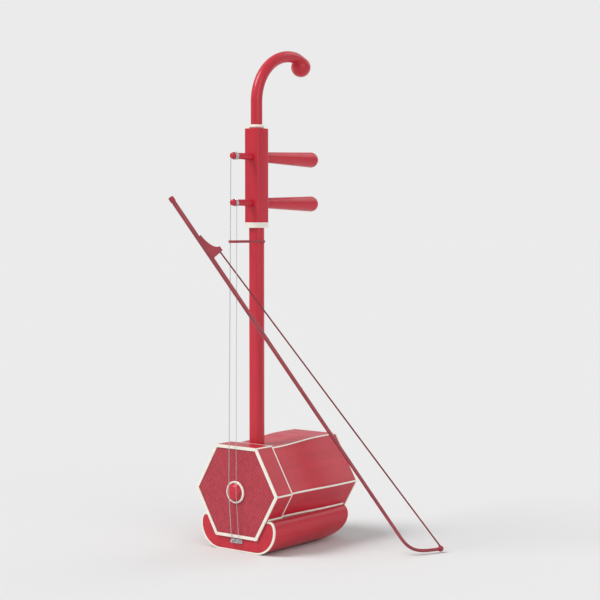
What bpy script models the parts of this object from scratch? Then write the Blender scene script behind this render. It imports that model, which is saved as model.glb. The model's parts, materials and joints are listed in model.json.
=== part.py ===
"""Erhu with its bow: a two-stringed fiddle with a hexagonal sound box, standing on its base.

The skin faces -Y; the pegs and the curl of the scroll point to +Y. The origin is on the
underside of the base, below the axis of the neck. All lengths are in metres.
"""
from math import asin, atan2, cos, hypot, pi, radians, sin, sqrt, tan

import bmesh
import bpy
from mathutils import Matrix, Vector

GAP = 0.0003                   # clearance between two pieces that seat on each other

# Sound box: six mitred staves round a hexagon with a flat top and bottom
BAND_FLATS = 0.148             # across the flats of the front band, the widest front size
BAND_WALL = 0.003
BAND_LENGTH = 0.035
BOX_FRONT_Y = -0.051           # front end of the staves
BOX_LENGTH = 0.204
STAVE_WALL = 0.008
FLARE = 0.006                  # how much wider the back end is, from centre to flat
FLARE_START, FLARE_END = 0.25, 0.80    # stretch of the flare, as shares of the box's length
LOFT_STATIONS = 12
EDGE = 0.0022                  # width of the chamfer that each bone edge strip fills
BINDING = 0.0025               # thickness of the bone binding rings
BINDING_FACE = 0.0050          # width of the front ring, seen from the front
SKIN = 0.0014
WINDOW_THICKNESS = 0.005
WINDOW_RECESS = 0.004          # the lattice sits this far inside the back end
WINDOW_PITCH = 0.0235          # spacing of the blossoms in the lattice
BLOSSOM_RADIUS = 0.0085
BLOSSOM_LOBE = 0.16            # depth of the lobes, as a share of the radius
BLOSSOM_LOBES = 6
BLOSSOM_RINGS = 2              # rings of blossoms round the central one

# Base: a rounded cradle under the sound box
BASE_THICKNESS = 0.0227        # wood under the front band
BASE_FRONT_Y = -0.050
BASE_LENGTH = 0.196
BASE_HALF_WIDTH = 0.077
BASE_ROUND = 0.040             # radius between the underside and the side
WING_HEIGHT = 0.056
WING_ROUND = 0.010
STERN_ROUND_LENGTH = 0.055     # the back end of the base curves up over this length
STERN_ROUND_HEIGHT = 0.043
BASE_FRONT_ROUND = 0.0015      # radius of the lower front edge
EDGING = 0.0030                # bone edging let into the front edge, square in section
BEAD = 0.0018                  # width of the bone beads in the seams between base and box
BEAD_STEP = 0.0010             # length over which a bead steps in behind the front band
SCREW_PLACES = (0.040, 0.112)  # Y of the two screws that hold the base to the box
SCREW_RADIUS = 0.0020
SCREW_HEAD_RADIUS = 0.0045
SCREW_HEAD = 0.003
SCREW_SINK = 0.0015            # the heads sit this far above the underside
SCREW_BITE = 0.005             # how far each one goes into the bottom stave

# Neck, peg box and scroll
NECK_RADIUS = 0.01225
NECK_FLAT = 0.0095             # from the axis to the flat front
NECK_TOP = 0.520
SOCKET_DEPTH = 0.013           # of the neck's foot in the base
TENON_RADIUS = 0.0070
TENON_LENGTH = 0.016
LOWER_COLLAR = 0.008
UPPER_COLLAR = 0.006
COLLAR_RADIUS = 0.0125
PEG_BOX_WIDTH = 0.0290
PEG_BOX_HEIGHT = 0.151
PEG_BOX_ROUND = 0.004
STEM_RADIUS = 0.0094
STEM_END_RADIUS = 0.0092       # where the stem runs into the ball, along the ball's outer side
STEM_STRAIGHT = 0.036          # from the collar to where it starts to bend
CROWN_REACH = 0.090            # from the neck's axis back to the top of the curl
CROWN_RISE = 0.080             # from the end of the straight stretch up to the top
BALL_REACH = 0.116
BALL_DROP = 0.015              # below the centre line at the top of the curl
BALL_RADIUS = 0.0162
BALL_PROUD = 0.0006            # the ball stands this far out past the stem's outer side
STEM_PULL = 0.045              # handles of the curves that shape the scroll's centre line
CROWN_PULL = 0.048
FALL_PULL = 0.014
BALL_PULL = (0.0060, 0.0075)

# Pegs: turned, one above the other, through the peg box from the back
PEG_FIRST = 0.0315             # lower peg's height over the bottom of the peg box
PEG_SPACING = 0.074
PEG_HANDLE = 0.141             # from the back of the peg box to the end
PEG_END_RADIUS = 0.0128
PEG_GRIP_RADIUS = 0.0088
PEG_WAIST_RADIUS = 0.0080      # the narrowest place of the handle
PEG_END_TUCK = radians(8)      # how far the round end wraps below its widest place
PEG_BEAD_RADIUS = 0.0096
PEG_BEAD = 0.0050              # length of the bead against the peg box
PEG_COVE = 0.0018              # from the bead to the waist
PEG_GRIP = 0.0105              # and to the start of the grip
PEG_SHAFT_RADIUS = 0.0060      # at the back of the peg box
PEG_TIP_RADIUS = 0.0048        # at the strings
PEG_TIP_ROUND = 0.0016
PEG_TIP_OVERHANG = 0.005       # the tip goes this far past the strings

# Strings
INNER_RADIUS = 0.0006
OUTER_RADIUS = 0.00045
WINDING_TURNS = 5
WINDING_PITCH_GAP = 0.00025
STRING_REACH = 0.057           # from the neck's axis to the inner string, at its peg
STRING_STAGGER = 0.001         # the outer string leaves its peg this far nearer the neck
BRIDGE_SPREAD = 0.0076         # from the middle to each string, on the bridge
BRIDGE_HEIGHT = 0.0085
BRIDGE_RADIUS = 0.0147
BRIDGE_TOP_RADIUS = 0.0074     # of the flat top that carries the strings
BRIDGE_CROWN_RADIUS = 0.0132   # where the top's round ends
BRIDGE_SHOULDER = 0.0043       # height of that place
BRIDGE_FOOT = 0.0034           # height of the straight foot
BRIDGE_ARCH = 0.0042           # radius of the passage between the bridge's feet
RING_WALL = 0.003
RING_HEIGHT = 0.0035
RING_CHAMFER = 0.0010
HOOK_Z = 0.0176
HOOK_PLATE = (0.023, 0.0070, 0.0012)
POST_RADIUS = 0.0014
POST_LENGTH = 0.0070
POST_HEAD_RADIUS = 0.0024
POST_HEAD = 0.0012
LOOP_FROM_PLATE = 0.0036       # the string loops' place along the posts
LOOP_TURN = radians(285)
QIANJIN_DROP = 0.022           # from the top of the neck to the middle of the thread loop
QIANJIN_HEIGHT = 0.005
QIANJIN_THREAD = 0.0010

# Bow, in its own frame: X along the hair to the tip, Y from the hair to the stick
CROSSING_Z = 0.4535            # where the hair passes between the strings
BOW_YAW = radians(38)          # turned from +X to +Y
BOW_SLOPE = radians(53.3)      # the tip is down on the ground
BOW_ROLL = radians(30)         # the stick is rolled out in front of the strings
HAIR_START = -0.0410           # end of the hair inside the frog
HAIR_END = 0.5535
HAIR_WIDTH = 0.0045
HAIR_THICKNESS = 0.001
STICK_START = -0.141
STICK_HEIGHT = 0.0207          # from hair to stick, at the strings
STICK_RISE = 0.0532            # growth of that height along the bow
STICK_STRAIGHT_END = HAIR_END - 0.0555
STICK_TIP = (HAIR_END + 0.0005, 0.0062)        # end of the stick's centre line
STICK_TIP_DIRECTION = radians(-58)
TIP_BEND_PULL = 0.45           # the bend's handles, as shares of its span
STICK_STEPS, TIP_BEND_STEPS = 8, 14
STICK_RADIUS = 0.0038
STICK_TIP_RADIUS = 0.0026
TIP_BEAD_RADIUS = 0.0050
TIP_BEAD_CENTRE = (HAIR_END + 0.0025, 0.0020)
TIP_SLOT = 0.012               # length of the slot in the bead that takes the hair
FROG_NOSE = -0.033
FROG_LENGTH = 0.042
FROG_RAKE = 0.002              # the nose leans back by this much
FROG_FLAT = 0.010              # straight part of its underside, behind the nose
FROG_DEPTH = 0.0032            # below the hair
FROG_WIDTH = 0.0092
FROG_LIP = 0.0010              # wood under the stick at the frog's thin end
FROG_TRAVEL = 0.0042           # how far the screw draws the frog back
EYELET_PLACE = 0.012           # behind the frog's nose
EYELET_RADIUS = 0.0019
EYELET_LENGTH = 0.006
EYELET_STEM_RADIUS = 0.0011
EYELET_STEM = 0.0067           # from the screw's axis down into the frog
BUTTON_RADIUS = 0.0046
BUTTON_LENGTH = 0.0105
BUTTON_DOME_RADIUS = 0.0023    # of its round end
BUTTON_DOME = 0.0029
BUTTON_RIM = 0.0032            # height of its widest place
BUTTON_FOOT_RADIUS = 0.0039
BUTTON_SOCKET = 0.0065         # depth of its hole for the screw's shank
SHANK_RADIUS = 0.0010
SHANK_PAST = 0.003             # the shank goes this far past the eyelet

# Values that follow from these
STAVE_APOTHEM = BAND_FLATS / 2 - BAND_WALL - GAP
BOX_Z = BASE_THICKNESS + GAP + BAND_FLATS / 2
BOX_BACK_Y = BOX_FRONT_Y + BOX_LENGTH
BAND_BACK_Y = BOX_FRONT_Y + BAND_LENGTH
BODY_FRONT_Y = BAND_BACK_Y + GAP + BINDING + GAP
SKIN_FRONT_Y = BOX_FRONT_Y - GAP - SKIN
PEG_BOX_BOTTOM = NECK_TOP + LOWER_COLLAR + 2 * GAP
PEG_BOX_TOP = PEG_BOX_BOTTOM + PEG_BOX_HEIGHT
STEM_BOTTOM = PEG_BOX_TOP + UPPER_COLLAR + 2 * GAP
LOWER_PEG_Z = PEG_BOX_BOTTOM + PEG_FIRST
UPPER_PEG_Z = LOWER_PEG_Z + PEG_SPACING
BRIDGE_STRING_Y = SKIN_FRONT_Y - GAP - BRIDGE_HEIGHT
HOOK_FACE_Y = BASE_FRONT_Y - GAP - HOOK_PLATE[2]
LOOP_Y = HOOK_FACE_Y - LOOP_FROM_PLATE
QIANJIN_Z = NECK_TOP - QIANJIN_DROP
BASE_BACK_Y = BASE_FRONT_Y + BASE_LENGTH
PAST_ENDS = 0.010              # cutters run this far past what they cut
SIDE = radians(30)             # half the angle that one side of a hexagon takes up

FACING_UP = (0, 0, 0)                              # an outline's (x, y) is (X, Y)
FACING_FRONT = (radians(90), 0, 0)                 # (X, Z)
FACING_SIDE = (radians(90), 0, radians(90))        # (Y, Z)

MATERIALS = {                  # colour, roughness, metallic
    "crimson_lacquer": ((0.48, 0.035, 0.055), 0.28, 0.0),
    "bow_bamboo": ((0.36, 0.030, 0.045), 0.35, 0.0),
    "python_skin": ((0.44, 0.050, 0.060), 0.45, 0.0),
    "bone": ((0.80, 0.76, 0.70), 0.35, 0.0),
    "steel_string": ((0.55, 0.55, 0.57), 0.25, 1.0),
    "brass": ((0.72, 0.52, 0.22), 0.30, 1.0),
    "silk_thread": ((0.42, 0.030, 0.045), 0.75, 0.0),
    "horsehair": ((0.36, 0.030, 0.045), 0.55, 0.0),
}


# ---------------------------------------------------------------- scene and helpers
for old in list(bpy.data.objects):
    bpy.data.objects.remove(old)


def new_collection(name):
    """A collection linked to the scene."""
    made = bpy.data.collections.new(name)
    bpy.context.scene.collection.children.link(made)
    return made


PARTS = new_collection("erhu")
CUTTERS = new_collection("erhu_cutters")


def material(name):
    """The Principled material of that name, made the first time it is asked for."""
    if name in bpy.data.materials:
        return bpy.data.materials[name]
    colour, roughness, metallic = MATERIALS[name]
    made = bpy.data.materials.new(name)
    made.use_nodes = True
    shader = made.node_tree.nodes["Principled BSDF"]
    shader.inputs["Base Color"].default_value = (*colour, 1)
    shader.inputs["Roughness"].default_value = roughness
    shader.inputs["Metallic"].default_value = metallic
    return made


def add(name, data, slot=None, place=(0, 0, 0), turn=(0, 0, 0), parent=None):
    """An object in its collection: a piece if it has a material slot, or else a cutter."""
    made = bpy.data.objects.new(name, data)
    (PARTS if slot else CUTTERS).objects.link(made)
    made.location, made.rotation_euler, made.parent = place, turn, parent
    if slot:
        data.materials.append(material(slot))
    else:
        made.hide_render, made.display_type = True, "WIRE"
    return made


def arc(centre, radii, start, end, steps):
    """Points on an ellipse's arc from one angle to another, both ends included."""
    angles = [start + (end - start) * k / steps for k in range(steps + 1)]
    return [(centre[0] + radii[0] * cos(a), centre[1] + radii[1] * sin(a)) for a in angles]


def hexagon(apothem, centre=(0, 0)):
    """Corners of a hexagon with a flat top and bottom."""
    corner = apothem / cos(SIDE)
    turns = [radians(60) * k for k in range(6)]
    return [(centre[0] + corner * cos(a), centre[1] + corner * sin(a)) for a in turns]


def rounded_square(width, round_radius, steps=5):
    """Outline of a square with round corners."""
    inner = width / 2 - round_radius
    points = []
    for k, (sx, sy) in enumerate(((1, 1), (-1, 1), (-1, -1), (1, -1))):
        start = k * pi / 2
        points += arc((sx * inner, sy * inner), (round_radius,) * 2, start, start + pi / 2, steps)
    return points


def plate(name, outlines, thickness, slot=None, place=(0, 0, 0), turn=FACING_UP, parent=None):
    """A flat outline, with any further outlines as holes, filled and made thick."""
    data = bpy.data.curves.new(name, "CURVE")
    data.dimensions, data.fill_mode, data.extrude = "2D", "BOTH", thickness / 2
    for points in outlines:
        spline = data.splines.new("POLY")
        spline.points.add(len(points) - 1)
        spline.use_cyclic_u = True
        for point, (x, y) in zip(spline.points, points):
            point.co = (x, y, 0, 1)
    return add(name, data, slot, place, turn, parent)


def turned(name, profile, slot=None, place=(0, 0, 0), turn=(0, 0, 0), steps=32, parent=None):
    """A profile of (radius, height) points, from the top down its outer side, turned round Z."""
    data = bpy.data.meshes.new(name)
    edges = [(k, k + 1) for k in range(len(profile) - 1)]
    data.from_pydata([(r, 0, z) for r, z in profile], edges, [])
    made = add(name, data, slot, place, turn, parent)
    screw = made.modifiers.new("turn", "SCREW")
    screw.steps = screw.render_steps = steps
    screw.use_merge_vertices, screw.merge_threshold = True, 0.00001
    return made


def tube(name, points, radii, slot=None, parent=None, detail=2):
    """A round bar along points, with a radius at each of them."""
    data = bpy.data.curves.new(name, "CURVE")
    data.dimensions, data.bevel_depth, data.bevel_resolution = "3D", 1.0, detail
    data.use_fill_caps = True
    spline = data.splines.new("POLY")
    spline.points.add(len(points) - 1)
    for point, place, radius in zip(spline.points, points, radii):
        point.co, point.radius = (*place, 1), radius
    return add(name, data, slot, parent=parent)


def as_mesh(made):
    """The object with its evaluated shape as a welded mesh, in place of its curve or modifiers."""
    bpy.context.view_layer.update()
    shape = made.evaluated_get(bpy.context.evaluated_depsgraph_get())
    data = bpy.data.meshes.new_from_object(shape)
    work = bmesh.new()
    work.from_mesh(data)
    bmesh.ops.remove_doubles(work, verts=work.verts, dist=0.000001)
    bmesh.ops.recalc_face_normals(work, faces=work.faces)
    work.to_mesh(data)
    work.free()
    name, home = made.name, made.users_collection[0]
    seat, parent, hidden = made.matrix_world.copy(), made.parent, made.hide_render
    bpy.data.objects.remove(made)
    solid = bpy.data.objects.new(name, data)
    home.objects.link(solid)
    solid.parent, solid.matrix_world, solid.hide_render = parent, seat, hidden
    solid.display_type = "WIRE" if hidden else "TEXTURED"
    return solid


def loft(name, rings, slot=None):
    """A closed body through rings of points that match one to one, with flat ends."""
    data = bpy.data.meshes.new(name)
    work = bmesh.new()
    rows = [[work.verts.new(point) for point in ring] for ring in rings]
    count = len(rows[0])
    for first, second in zip(rows, rows[1:]):
        for k in range(count):
            n = (k + 1) % count
            work.faces.new((first[k], first[n], second[n], second[k]))
    work.faces.new(rows[0])
    work.faces.new(rows[-1])
    bmesh.ops.recalc_face_normals(work, faces=work.faces)
    work.to_mesh(data)
    work.free()
    return add(name, data, slot)


def boolean(made, other, operation="DIFFERENCE"):
    """Cuts, joins or intersects a mesh piece with another closed mesh."""
    change = made.modifiers.new(other.name, "BOOLEAN")
    change.operation, change.object, change.solver = operation, other, "EXACT"


def cylinder(name, radius, start, end, steps=24, slot=None):
    """A round bar from one point to another."""
    start, end = Vector(start), Vector(end)
    data = bpy.data.meshes.new(name)
    work = bmesh.new()
    bmesh.ops.create_cone(work, cap_ends=True, segments=steps, radius1=radius, radius2=radius,
                          depth=(end - start).length)
    work.to_mesh(data)
    work.free()
    turn = (end - start).to_track_quat("Z", "Y").to_euler()
    return add(name, data, slot, (start + end) / 2, turn)


def block(name, low, high, slot=None, parent=None):
    """A rectangular block between two corners."""
    low, high = Vector(low), Vector(high)
    data = bpy.data.meshes.new(name)
    work = bmesh.new()
    bmesh.ops.create_cube(work, size=1)
    bmesh.ops.scale(work, vec=high - low, verts=work.verts)
    work.to_mesh(data)
    work.free()
    return add(name, data, slot, place=(low + high) / 2, parent=parent)


def middle(low, high):
    """Halfway between two values."""
    return (low + high) / 2


# ---------------------------------------------------------------- sound box
def apothem(y):
    """Centre-to-flat size of the staves' outside at a place along the box."""
    share = (y - BOX_FRONT_Y) / BOX_LENGTH
    t = min(max((share - FLARE_START) / (FLARE_END - FLARE_START), 0), 1)
    return STAVE_APOTHEM + FLARE * t * t * (3 - 2 * t)


def stations(front, back):
    """Places along the box where a lofted piece takes a section."""
    return [front + (back - front) * k / LOFT_STATIONS for k in range(LOFT_STATIONS + 1)]


def around(y, angle, across, out):
    """A point of a section: out from the box's axis at an angle, and across that direction."""
    x = out * cos(angle) - across * sin(angle)
    z = out * sin(angle) + across * cos(angle)
    return (x, y, BOX_Z + z)


def stave_section(y, angle):
    """One stave's section: mitred sides, with the outer corners chamfered for the edge strips."""
    out = apothem(y)
    levels = (out - STAVE_WALL, out - EDGE)
    inner, shoulder = [level * tan(SIDE) - GAP / 2 / cos(SIDE) for level in levels]
    face = out * tan(SIDE) - EDGE
    half = ((inner, levels[0]), (shoulder, levels[1]), (face, out))
    whole = half + tuple((-across, level) for across, level in reversed(half))
    return [around(y, angle, across, level) for across, level in whole]


def strip_section(y, angle, out):
    """A bone strip's section: a kite that fills the chamfers at one corner, less the gap."""
    corner = out / cos(SIDE)
    seat = EDGE * cos(SIDE) / hypot(cos(SIDE), 1 / cos(SIDE) - sin(SIDE)) / cos(SIDE)
    size = EDGE * (1 - GAP / seat)
    kite = ((0, 0), (size * cos(SIDE), -size * sin(SIDE)), (0, -size / cos(SIDE)),
            (-size * cos(SIDE), -size * sin(SIDE)))
    return [around(y, angle, across, corner + depth) for across, depth in kite]


def hex_ring(name, outer, inner, front, back, slot):
    """A hexagonal ring between two places along the box."""
    outlines = [hexagon(outer), hexagon(inner)]
    return plate(name, outlines, back - front, slot, (0, middle(front, back), BOX_Z), FACING_FRONT)


STAVES = ("upper_right", "top", "upper_left", "lower_left", "bottom", "lower_right")
CORNERS = ("right", "top_right", "top_left", "left", "bottom_left", "bottom_right")

staves = {}
for k, side in enumerate(STAVES):
    facing = radians(30 + 60 * k)
    rings = [stave_section(y, facing) for y in stations(BOX_FRONT_Y, BOX_BACK_Y)]
    staves[side] = loft(f"stave_{side}", rings, "crimson_lacquer")

for k, corner in enumerate(CORNERS):
    pointing = radians(60 * k)
    rings = [strip_section(y, pointing, apothem(y)) for y in stations(BODY_FRONT_Y, BOX_BACK_Y)]
    loft(f"edge_strip_{corner}", rings, "bone")
    rings = [strip_section(y, pointing, BAND_FLATS / 2) for y in (BOX_FRONT_Y, BAND_BACK_Y)]
    loft(f"band_strip_{corner}", rings, "bone")


def chamfered_hexagon(apothem_out):
    """Outline of a hexagon whose corners are cut back for the edge strips."""
    points = []
    for k in range(6):
        angle = radians(60 * k)
        corner, depth = apothem_out / cos(SIDE), EDGE / cos(SIDE)
        for across, out in ((-EDGE * cos(SIDE), corner - EDGE * sin(SIDE)), (0, corner - depth),
                            (EDGE * cos(SIDE), corner - EDGE * sin(SIDE))):
            points.append((out * cos(angle) - across * sin(angle),
                           out * sin(angle) + across * cos(angle)))
    return points


plate("front_band", [chamfered_hexagon(BAND_FLATS / 2), hexagon(STAVE_APOTHEM + GAP)], BAND_LENGTH,
      "crimson_lacquer", (0, middle(BOX_FRONT_Y, BAND_BACK_Y), BOX_Z), FACING_FRONT)
hex_ring("front_binding", BAND_FLATS / 2, BAND_FLATS / 2 - BINDING_FACE,
         BOX_FRONT_Y - GAP - BINDING, BOX_FRONT_Y - GAP, "bone")
hex_ring("band_binding", BAND_FLATS / 2, STAVE_APOTHEM + GAP,
         BAND_BACK_Y + GAP, BAND_BACK_Y + GAP + BINDING, "bone")
BACK_APOTHEM = apothem(BOX_BACK_Y)
hex_ring("back_binding", BACK_APOTHEM, BACK_APOTHEM - STAVE_WALL,
         BOX_BACK_Y + GAP, BOX_BACK_Y + GAP + BINDING, "bone")
plate("skin", [hexagon(BAND_FLATS / 2 - BINDING_FACE - GAP)], SKIN, "python_skin",
      (0, middle(SKIN_FRONT_Y, BOX_FRONT_Y - GAP), BOX_Z), FACING_FRONT)


# ---------------------------------------------------------------- sound window
def blossom(centre):
    """Outline of one opening: a circle that swells and shrinks into lobes."""
    steps = 6 * BLOSSOM_LOBES
    points = []
    for k in range(steps):
        angle = 2 * pi * k / steps
        reach = BLOSSOM_RADIUS * (1 + BLOSSOM_LOBE * cos(BLOSSOM_LOBES * angle))
        points.append((centre[0] + reach * cos(angle), centre[1] + reach * sin(angle)))
    return points


def lattice_places():
    """Centres of the openings: a honeycomb whose corners point as the box's do."""
    places = []
    for i in range(-BLOSSOM_RINGS, BLOSSOM_RINGS + 1):
        for j in range(-BLOSSOM_RINGS, BLOSSOM_RINGS + 1):
            if abs(i + j) <= BLOSSOM_RINGS:
                places.append((WINDOW_PITCH * (i + j / 2), WINDOW_PITCH * j * cos(SIDE)))
    return places


window_back = BOX_BACK_Y - WINDOW_RECESS
window_front = window_back - WINDOW_THICKNESS
window_outline = hexagon(apothem(window_front) - STAVE_WALL - GAP)
plate("sound_window", [window_outline] + [blossom(place) for place in lattice_places()],
      WINDOW_THICKNESS, "crimson_lacquer", (0, middle(window_front, window_back), BOX_Z),
      FACING_FRONT)


# ---------------------------------------------------------------- base
def base_section(inset=0.0):
    """The cradle's end view before the box is cut out of it: flat below, round at the sides."""
    flat = BASE_HALF_WIDTH - BASE_ROUND
    wing = BASE_HALF_WIDTH - WING_ROUND
    side = arc((flat, BASE_ROUND), (BASE_ROUND - inset,) * 2, -pi / 2, 0, 9)
    top_radii = (WING_ROUND - inset, WING_HEIGHT - BASE_ROUND - inset)
    top = arc((wing, BASE_ROUND), top_radii, 0, pi / 2, 6)
    half = side + top[1:]
    return half + [(-x, z) for x, z in reversed(half)]


def base_side_view():
    """The cradle's side view: a small round at the front and a long one at the stern."""
    stern = arc((BASE_BACK_Y - STERN_ROUND_LENGTH, STERN_ROUND_HEIGHT),
                (STERN_ROUND_LENGTH, STERN_ROUND_HEIGHT), -pi / 2, 0, 9)
    front = arc((BASE_FRONT_Y + BASE_FRONT_ROUND, BASE_FRONT_ROUND), (BASE_FRONT_ROUND,) * 2,
                pi, 3 * pi / 2, 3)
    top = WING_HEIGHT + BASE_ROUND
    return front + stern + [(BASE_BACK_Y, top), (BASE_FRONT_Y, top)]


def neck_outline(grow=0.0):
    """The neck's section: round, with a flat front. grow makes it larger for a hole."""
    radius, flat = NECK_RADIUS + grow, NECK_FLAT + grow
    edge = asin(flat / radius)
    return arc((0, 0), (radius, radius), -edge, pi + edge, 20)


base = as_mesh(plate("base", [base_section()], BASE_LENGTH, "crimson_lacquer",
                     (0, middle(BASE_FRONT_Y, BASE_BACK_Y), 0), FACING_FRONT))
side_view = as_mesh(plate("base_side_view", [base_side_view()], 3 * BASE_HALF_WIDTH,
                          turn=FACING_SIDE))
rings = [[around(y, radians(60 * k), 0, (apothem(y) + GAP) / cos(SIDE)) for k in range(6)]
         for y in stations(BOX_FRONT_Y - PAST_ENDS, BOX_BACK_Y + PAST_ENDS)]
box_cutter = loft("box_cutter", rings)
band_cutter = as_mesh(plate("band_cutter", [hexagon(BAND_FLATS / 2 + GAP)],
                            BODY_FRONT_Y - BOX_FRONT_Y + PAST_ENDS,
                            place=(0, middle(BOX_FRONT_Y - PAST_ENDS, BODY_FRONT_Y), BOX_Z),
                            turn=FACING_FRONT))
neck_foot = BOX_Z - STAVE_APOTHEM - GAP - SOCKET_DEPTH
neck_hole = as_mesh(plate("neck_hole", [neck_outline(GAP)], NECK_TOP - neck_foot,
                          place=(0, 0, middle(neck_foot - GAP, NECK_TOP - GAP))))
rebate_back = BASE_FRONT_Y + EDGING + GAP
rebate = as_mesh(plate("edging_rebate", [base_section(-PAST_ENDS), base_section(EDGING + GAP)],
                       rebate_back - BASE_FRONT_Y + PAST_ENDS,
                       place=(0, middle(BASE_FRONT_Y - PAST_ENDS, rebate_back), 0),
                       turn=FACING_FRONT))
edging = as_mesh(plate("base_edging", [base_section(), base_section(EDGING)], EDGING, "bone",
                       (0, BASE_FRONT_Y + EDGING / 2, 0), FACING_FRONT))
for piece in (base, edging):
    boolean(piece, side_view, "INTERSECT")
    boolean(piece, band_cutter)
for cutter in (box_cutter, neck_hole, rebate):
    boolean(base, cutter)
for side in ("top", "bottom"):
    boolean(staves[side], neck_hole)

for label, y in zip(("front", "rear"), SCREW_PLACES):
    bottom = SCREW_SINK
    tip = BOX_Z - apothem(y) + SCREW_BITE
    head_top = bottom + SCREW_HEAD
    profile = [(0, tip), (SCREW_RADIUS / 2, tip - SCREW_RADIUS / 2), (SCREW_RADIUS, tip - SCREW_RADIUS),
               (SCREW_RADIUS, head_top), (SCREW_HEAD_RADIUS, head_top),
               (SCREW_HEAD_RADIUS, bottom), (0, bottom)]
    turned(f"base_screw_{label}", profile, "brass", (0, y, 0), steps=20)
    shank_hole = cylinder(f"shank_hole_{label}", SCREW_RADIUS + GAP, (0, y, -PAST_ENDS),
                          (0, y, tip + GAP), 20)
    head_hole = cylinder(f"head_hole_{label}", SCREW_HEAD_RADIUS + GAP, (0, y, -PAST_ENDS),
                         (0, y, head_top + GAP), 20)
    boolean(base, shank_hole)
    boolean(base, head_hole)
    boolean(staves["bottom"], shank_hole)


def bead_section(y, out, side):
    """A seam bead's section: its foot on the wing's top, its slant against the box's side."""
    low = WING_HEIGHT + GAP
    seam = (out + GAP - (BOX_Z - low) * sin(SIDE)) / cos(SIDE)
    corners = ((seam, low), (seam + BEAD, low), (seam + BEAD, low + BEAD / tan(SIDE)))
    return [(side * x, y, z) for x, z in corners]


for side, sign in (("left", -1), ("right", 1)):
    rings = [bead_section(y, BAND_FLATS / 2, sign) for y in (BASE_FRONT_Y, BODY_FRONT_Y)]
    rings += [bead_section(y, apothem(y), sign)
              for y in stations(BODY_FRONT_Y + BEAD_STEP, BASE_BACK_Y)]
    loft(f"cradle_bead_{side}", rings, "bone")


# ---------------------------------------------------------------- neck, peg box and scroll
neck = as_mesh(plate("neck", [neck_outline()], NECK_TOP - neck_foot, "crimson_lacquer",
                     (0, 0, middle(neck_foot, NECK_TOP))))
tenon_top = PEG_BOX_BOTTOM + TENON_LENGTH
neck_tenon = cylinder("neck_tenon", TENON_RADIUS, (0, 0, NECK_TOP - TENON_LENGTH), (0, 0, tenon_top))
boolean(neck, neck_tenon, "UNION")

collar = rounded_square(PEG_BOX_WIDTH, PEG_BOX_ROUND)
tenon_hole = [arc((0, 0), (TENON_RADIUS + GAP,) * 2, 0, 2 * pi, 24)[:-1]]
plate("lower_collar", [collar] + tenon_hole, LOWER_COLLAR, "bone",
      (0, 0, NECK_TOP + GAP + LOWER_COLLAR / 2))
collar_low, collar_high = PEG_BOX_TOP + GAP, PEG_BOX_TOP + GAP + UPPER_COLLAR
rim = arc((COLLAR_RADIUS - UPPER_COLLAR / 2, middle(collar_low, collar_high)),
          (UPPER_COLLAR / 2, UPPER_COLLAR / 2), pi / 2, -pi / 2, 6)
hole_radius = TENON_RADIUS + GAP
turned("upper_collar", [(hole_radius, collar_high)] + rim
       + [(hole_radius, collar_low), (hole_radius, collar_high)], "bone", steps=24)

peg_box = as_mesh(plate("peg_box", [rounded_square(PEG_BOX_WIDTH, PEG_BOX_ROUND)], PEG_BOX_HEIGHT,
                        "crimson_lacquer", (0, 0, middle(PEG_BOX_BOTTOM, PEG_BOX_TOP))))
for label, low, high in (("bottom", PEG_BOX_BOTTOM - PAST_ENDS, tenon_top + GAP),
                         ("top", PEG_BOX_TOP - TENON_LENGTH - GAP, PEG_BOX_TOP + PAST_ENDS)):
    boolean(peg_box, cylinder(f"tenon_socket_{label}", hole_radius, (0, 0, low), (0, 0, high)))


def bezier(points, steps):
    """Points on a cubic Bezier curve in the YZ plane, both ends included."""
    curve = []
    for k in range(steps + 1):
        t = k / steps
        weights = ((1 - t) ** 3, 3 * t * (1 - t) ** 2, 3 * t * t * (1 - t), t ** 3)
        curve.append(tuple(sum(w * p[axis] for w, p in zip(weights, points)) for axis in (0, 1)))
    return curve


crown_z = STEM_BOTTOM + STEM_STRAIGHT + CROWN_RISE
ball_z = crown_z - BALL_DROP


def scroll_line():
    """Centre line of the scroll in (Y, Z): up the stem, over the crown and down along the ball."""
    bend_z = STEM_BOTTOM + STEM_STRAIGHT
    crown = (CROWN_REACH, crown_z)
    off_centre = (BALL_RADIUS - BALL_PROUD - STEM_END_RADIUS) / hypot(*BALL_PULL)
    end = (BALL_REACH + off_centre * BALL_PULL[1], ball_z + off_centre * BALL_PULL[0])
    rise = [(0, bend_z), (0, bend_z + STEM_PULL), (CROWN_REACH - CROWN_PULL, crown_z), crown]
    fall = [crown, (CROWN_REACH + FALL_PULL, crown_z),
            (end[0] - BALL_PULL[0], end[1] + BALL_PULL[1]), end]
    return bezier(rise, 16) + bezier(fall, 8)[1:]


line = scroll_line()
radii = [STEM_RADIUS + (STEM_END_RADIUS - STEM_RADIUS) * k / (len(line) - 1)
         for k in range(len(line))]
stem_foot = PEG_BOX_TOP - TENON_LENGTH
foot = [(0, stem_foot), (0, STEM_BOTTOM - 0.00001), (0, STEM_BOTTOM)]
scroll = as_mesh(tube("head_scroll", [(0, y, z) for y, z in foot + line],
                      [TENON_RADIUS, TENON_RADIUS, STEM_RADIUS] + radii, "crimson_lacquer",
                      detail=6))
ball_data = bpy.data.meshes.new("scroll_ball")
ball_work = bmesh.new()
bmesh.ops.create_uvsphere(ball_work, u_segments=24, v_segments=14, radius=BALL_RADIUS)
ball_work.to_mesh(ball_data)
ball_work.free()
scroll_ball = add("scroll_ball", ball_data, place=(0, BALL_REACH, ball_z),
                  turn=(0, radians(90), 0))
boolean(scroll, scroll_ball, "UNION")


# ---------------------------------------------------------------- pegs
box_face = PEG_BOX_WIDTH / 2
peg_end = box_face + PEG_HANDLE
peg_tip = -STRING_REACH - PEG_TIP_OVERHANG


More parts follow.
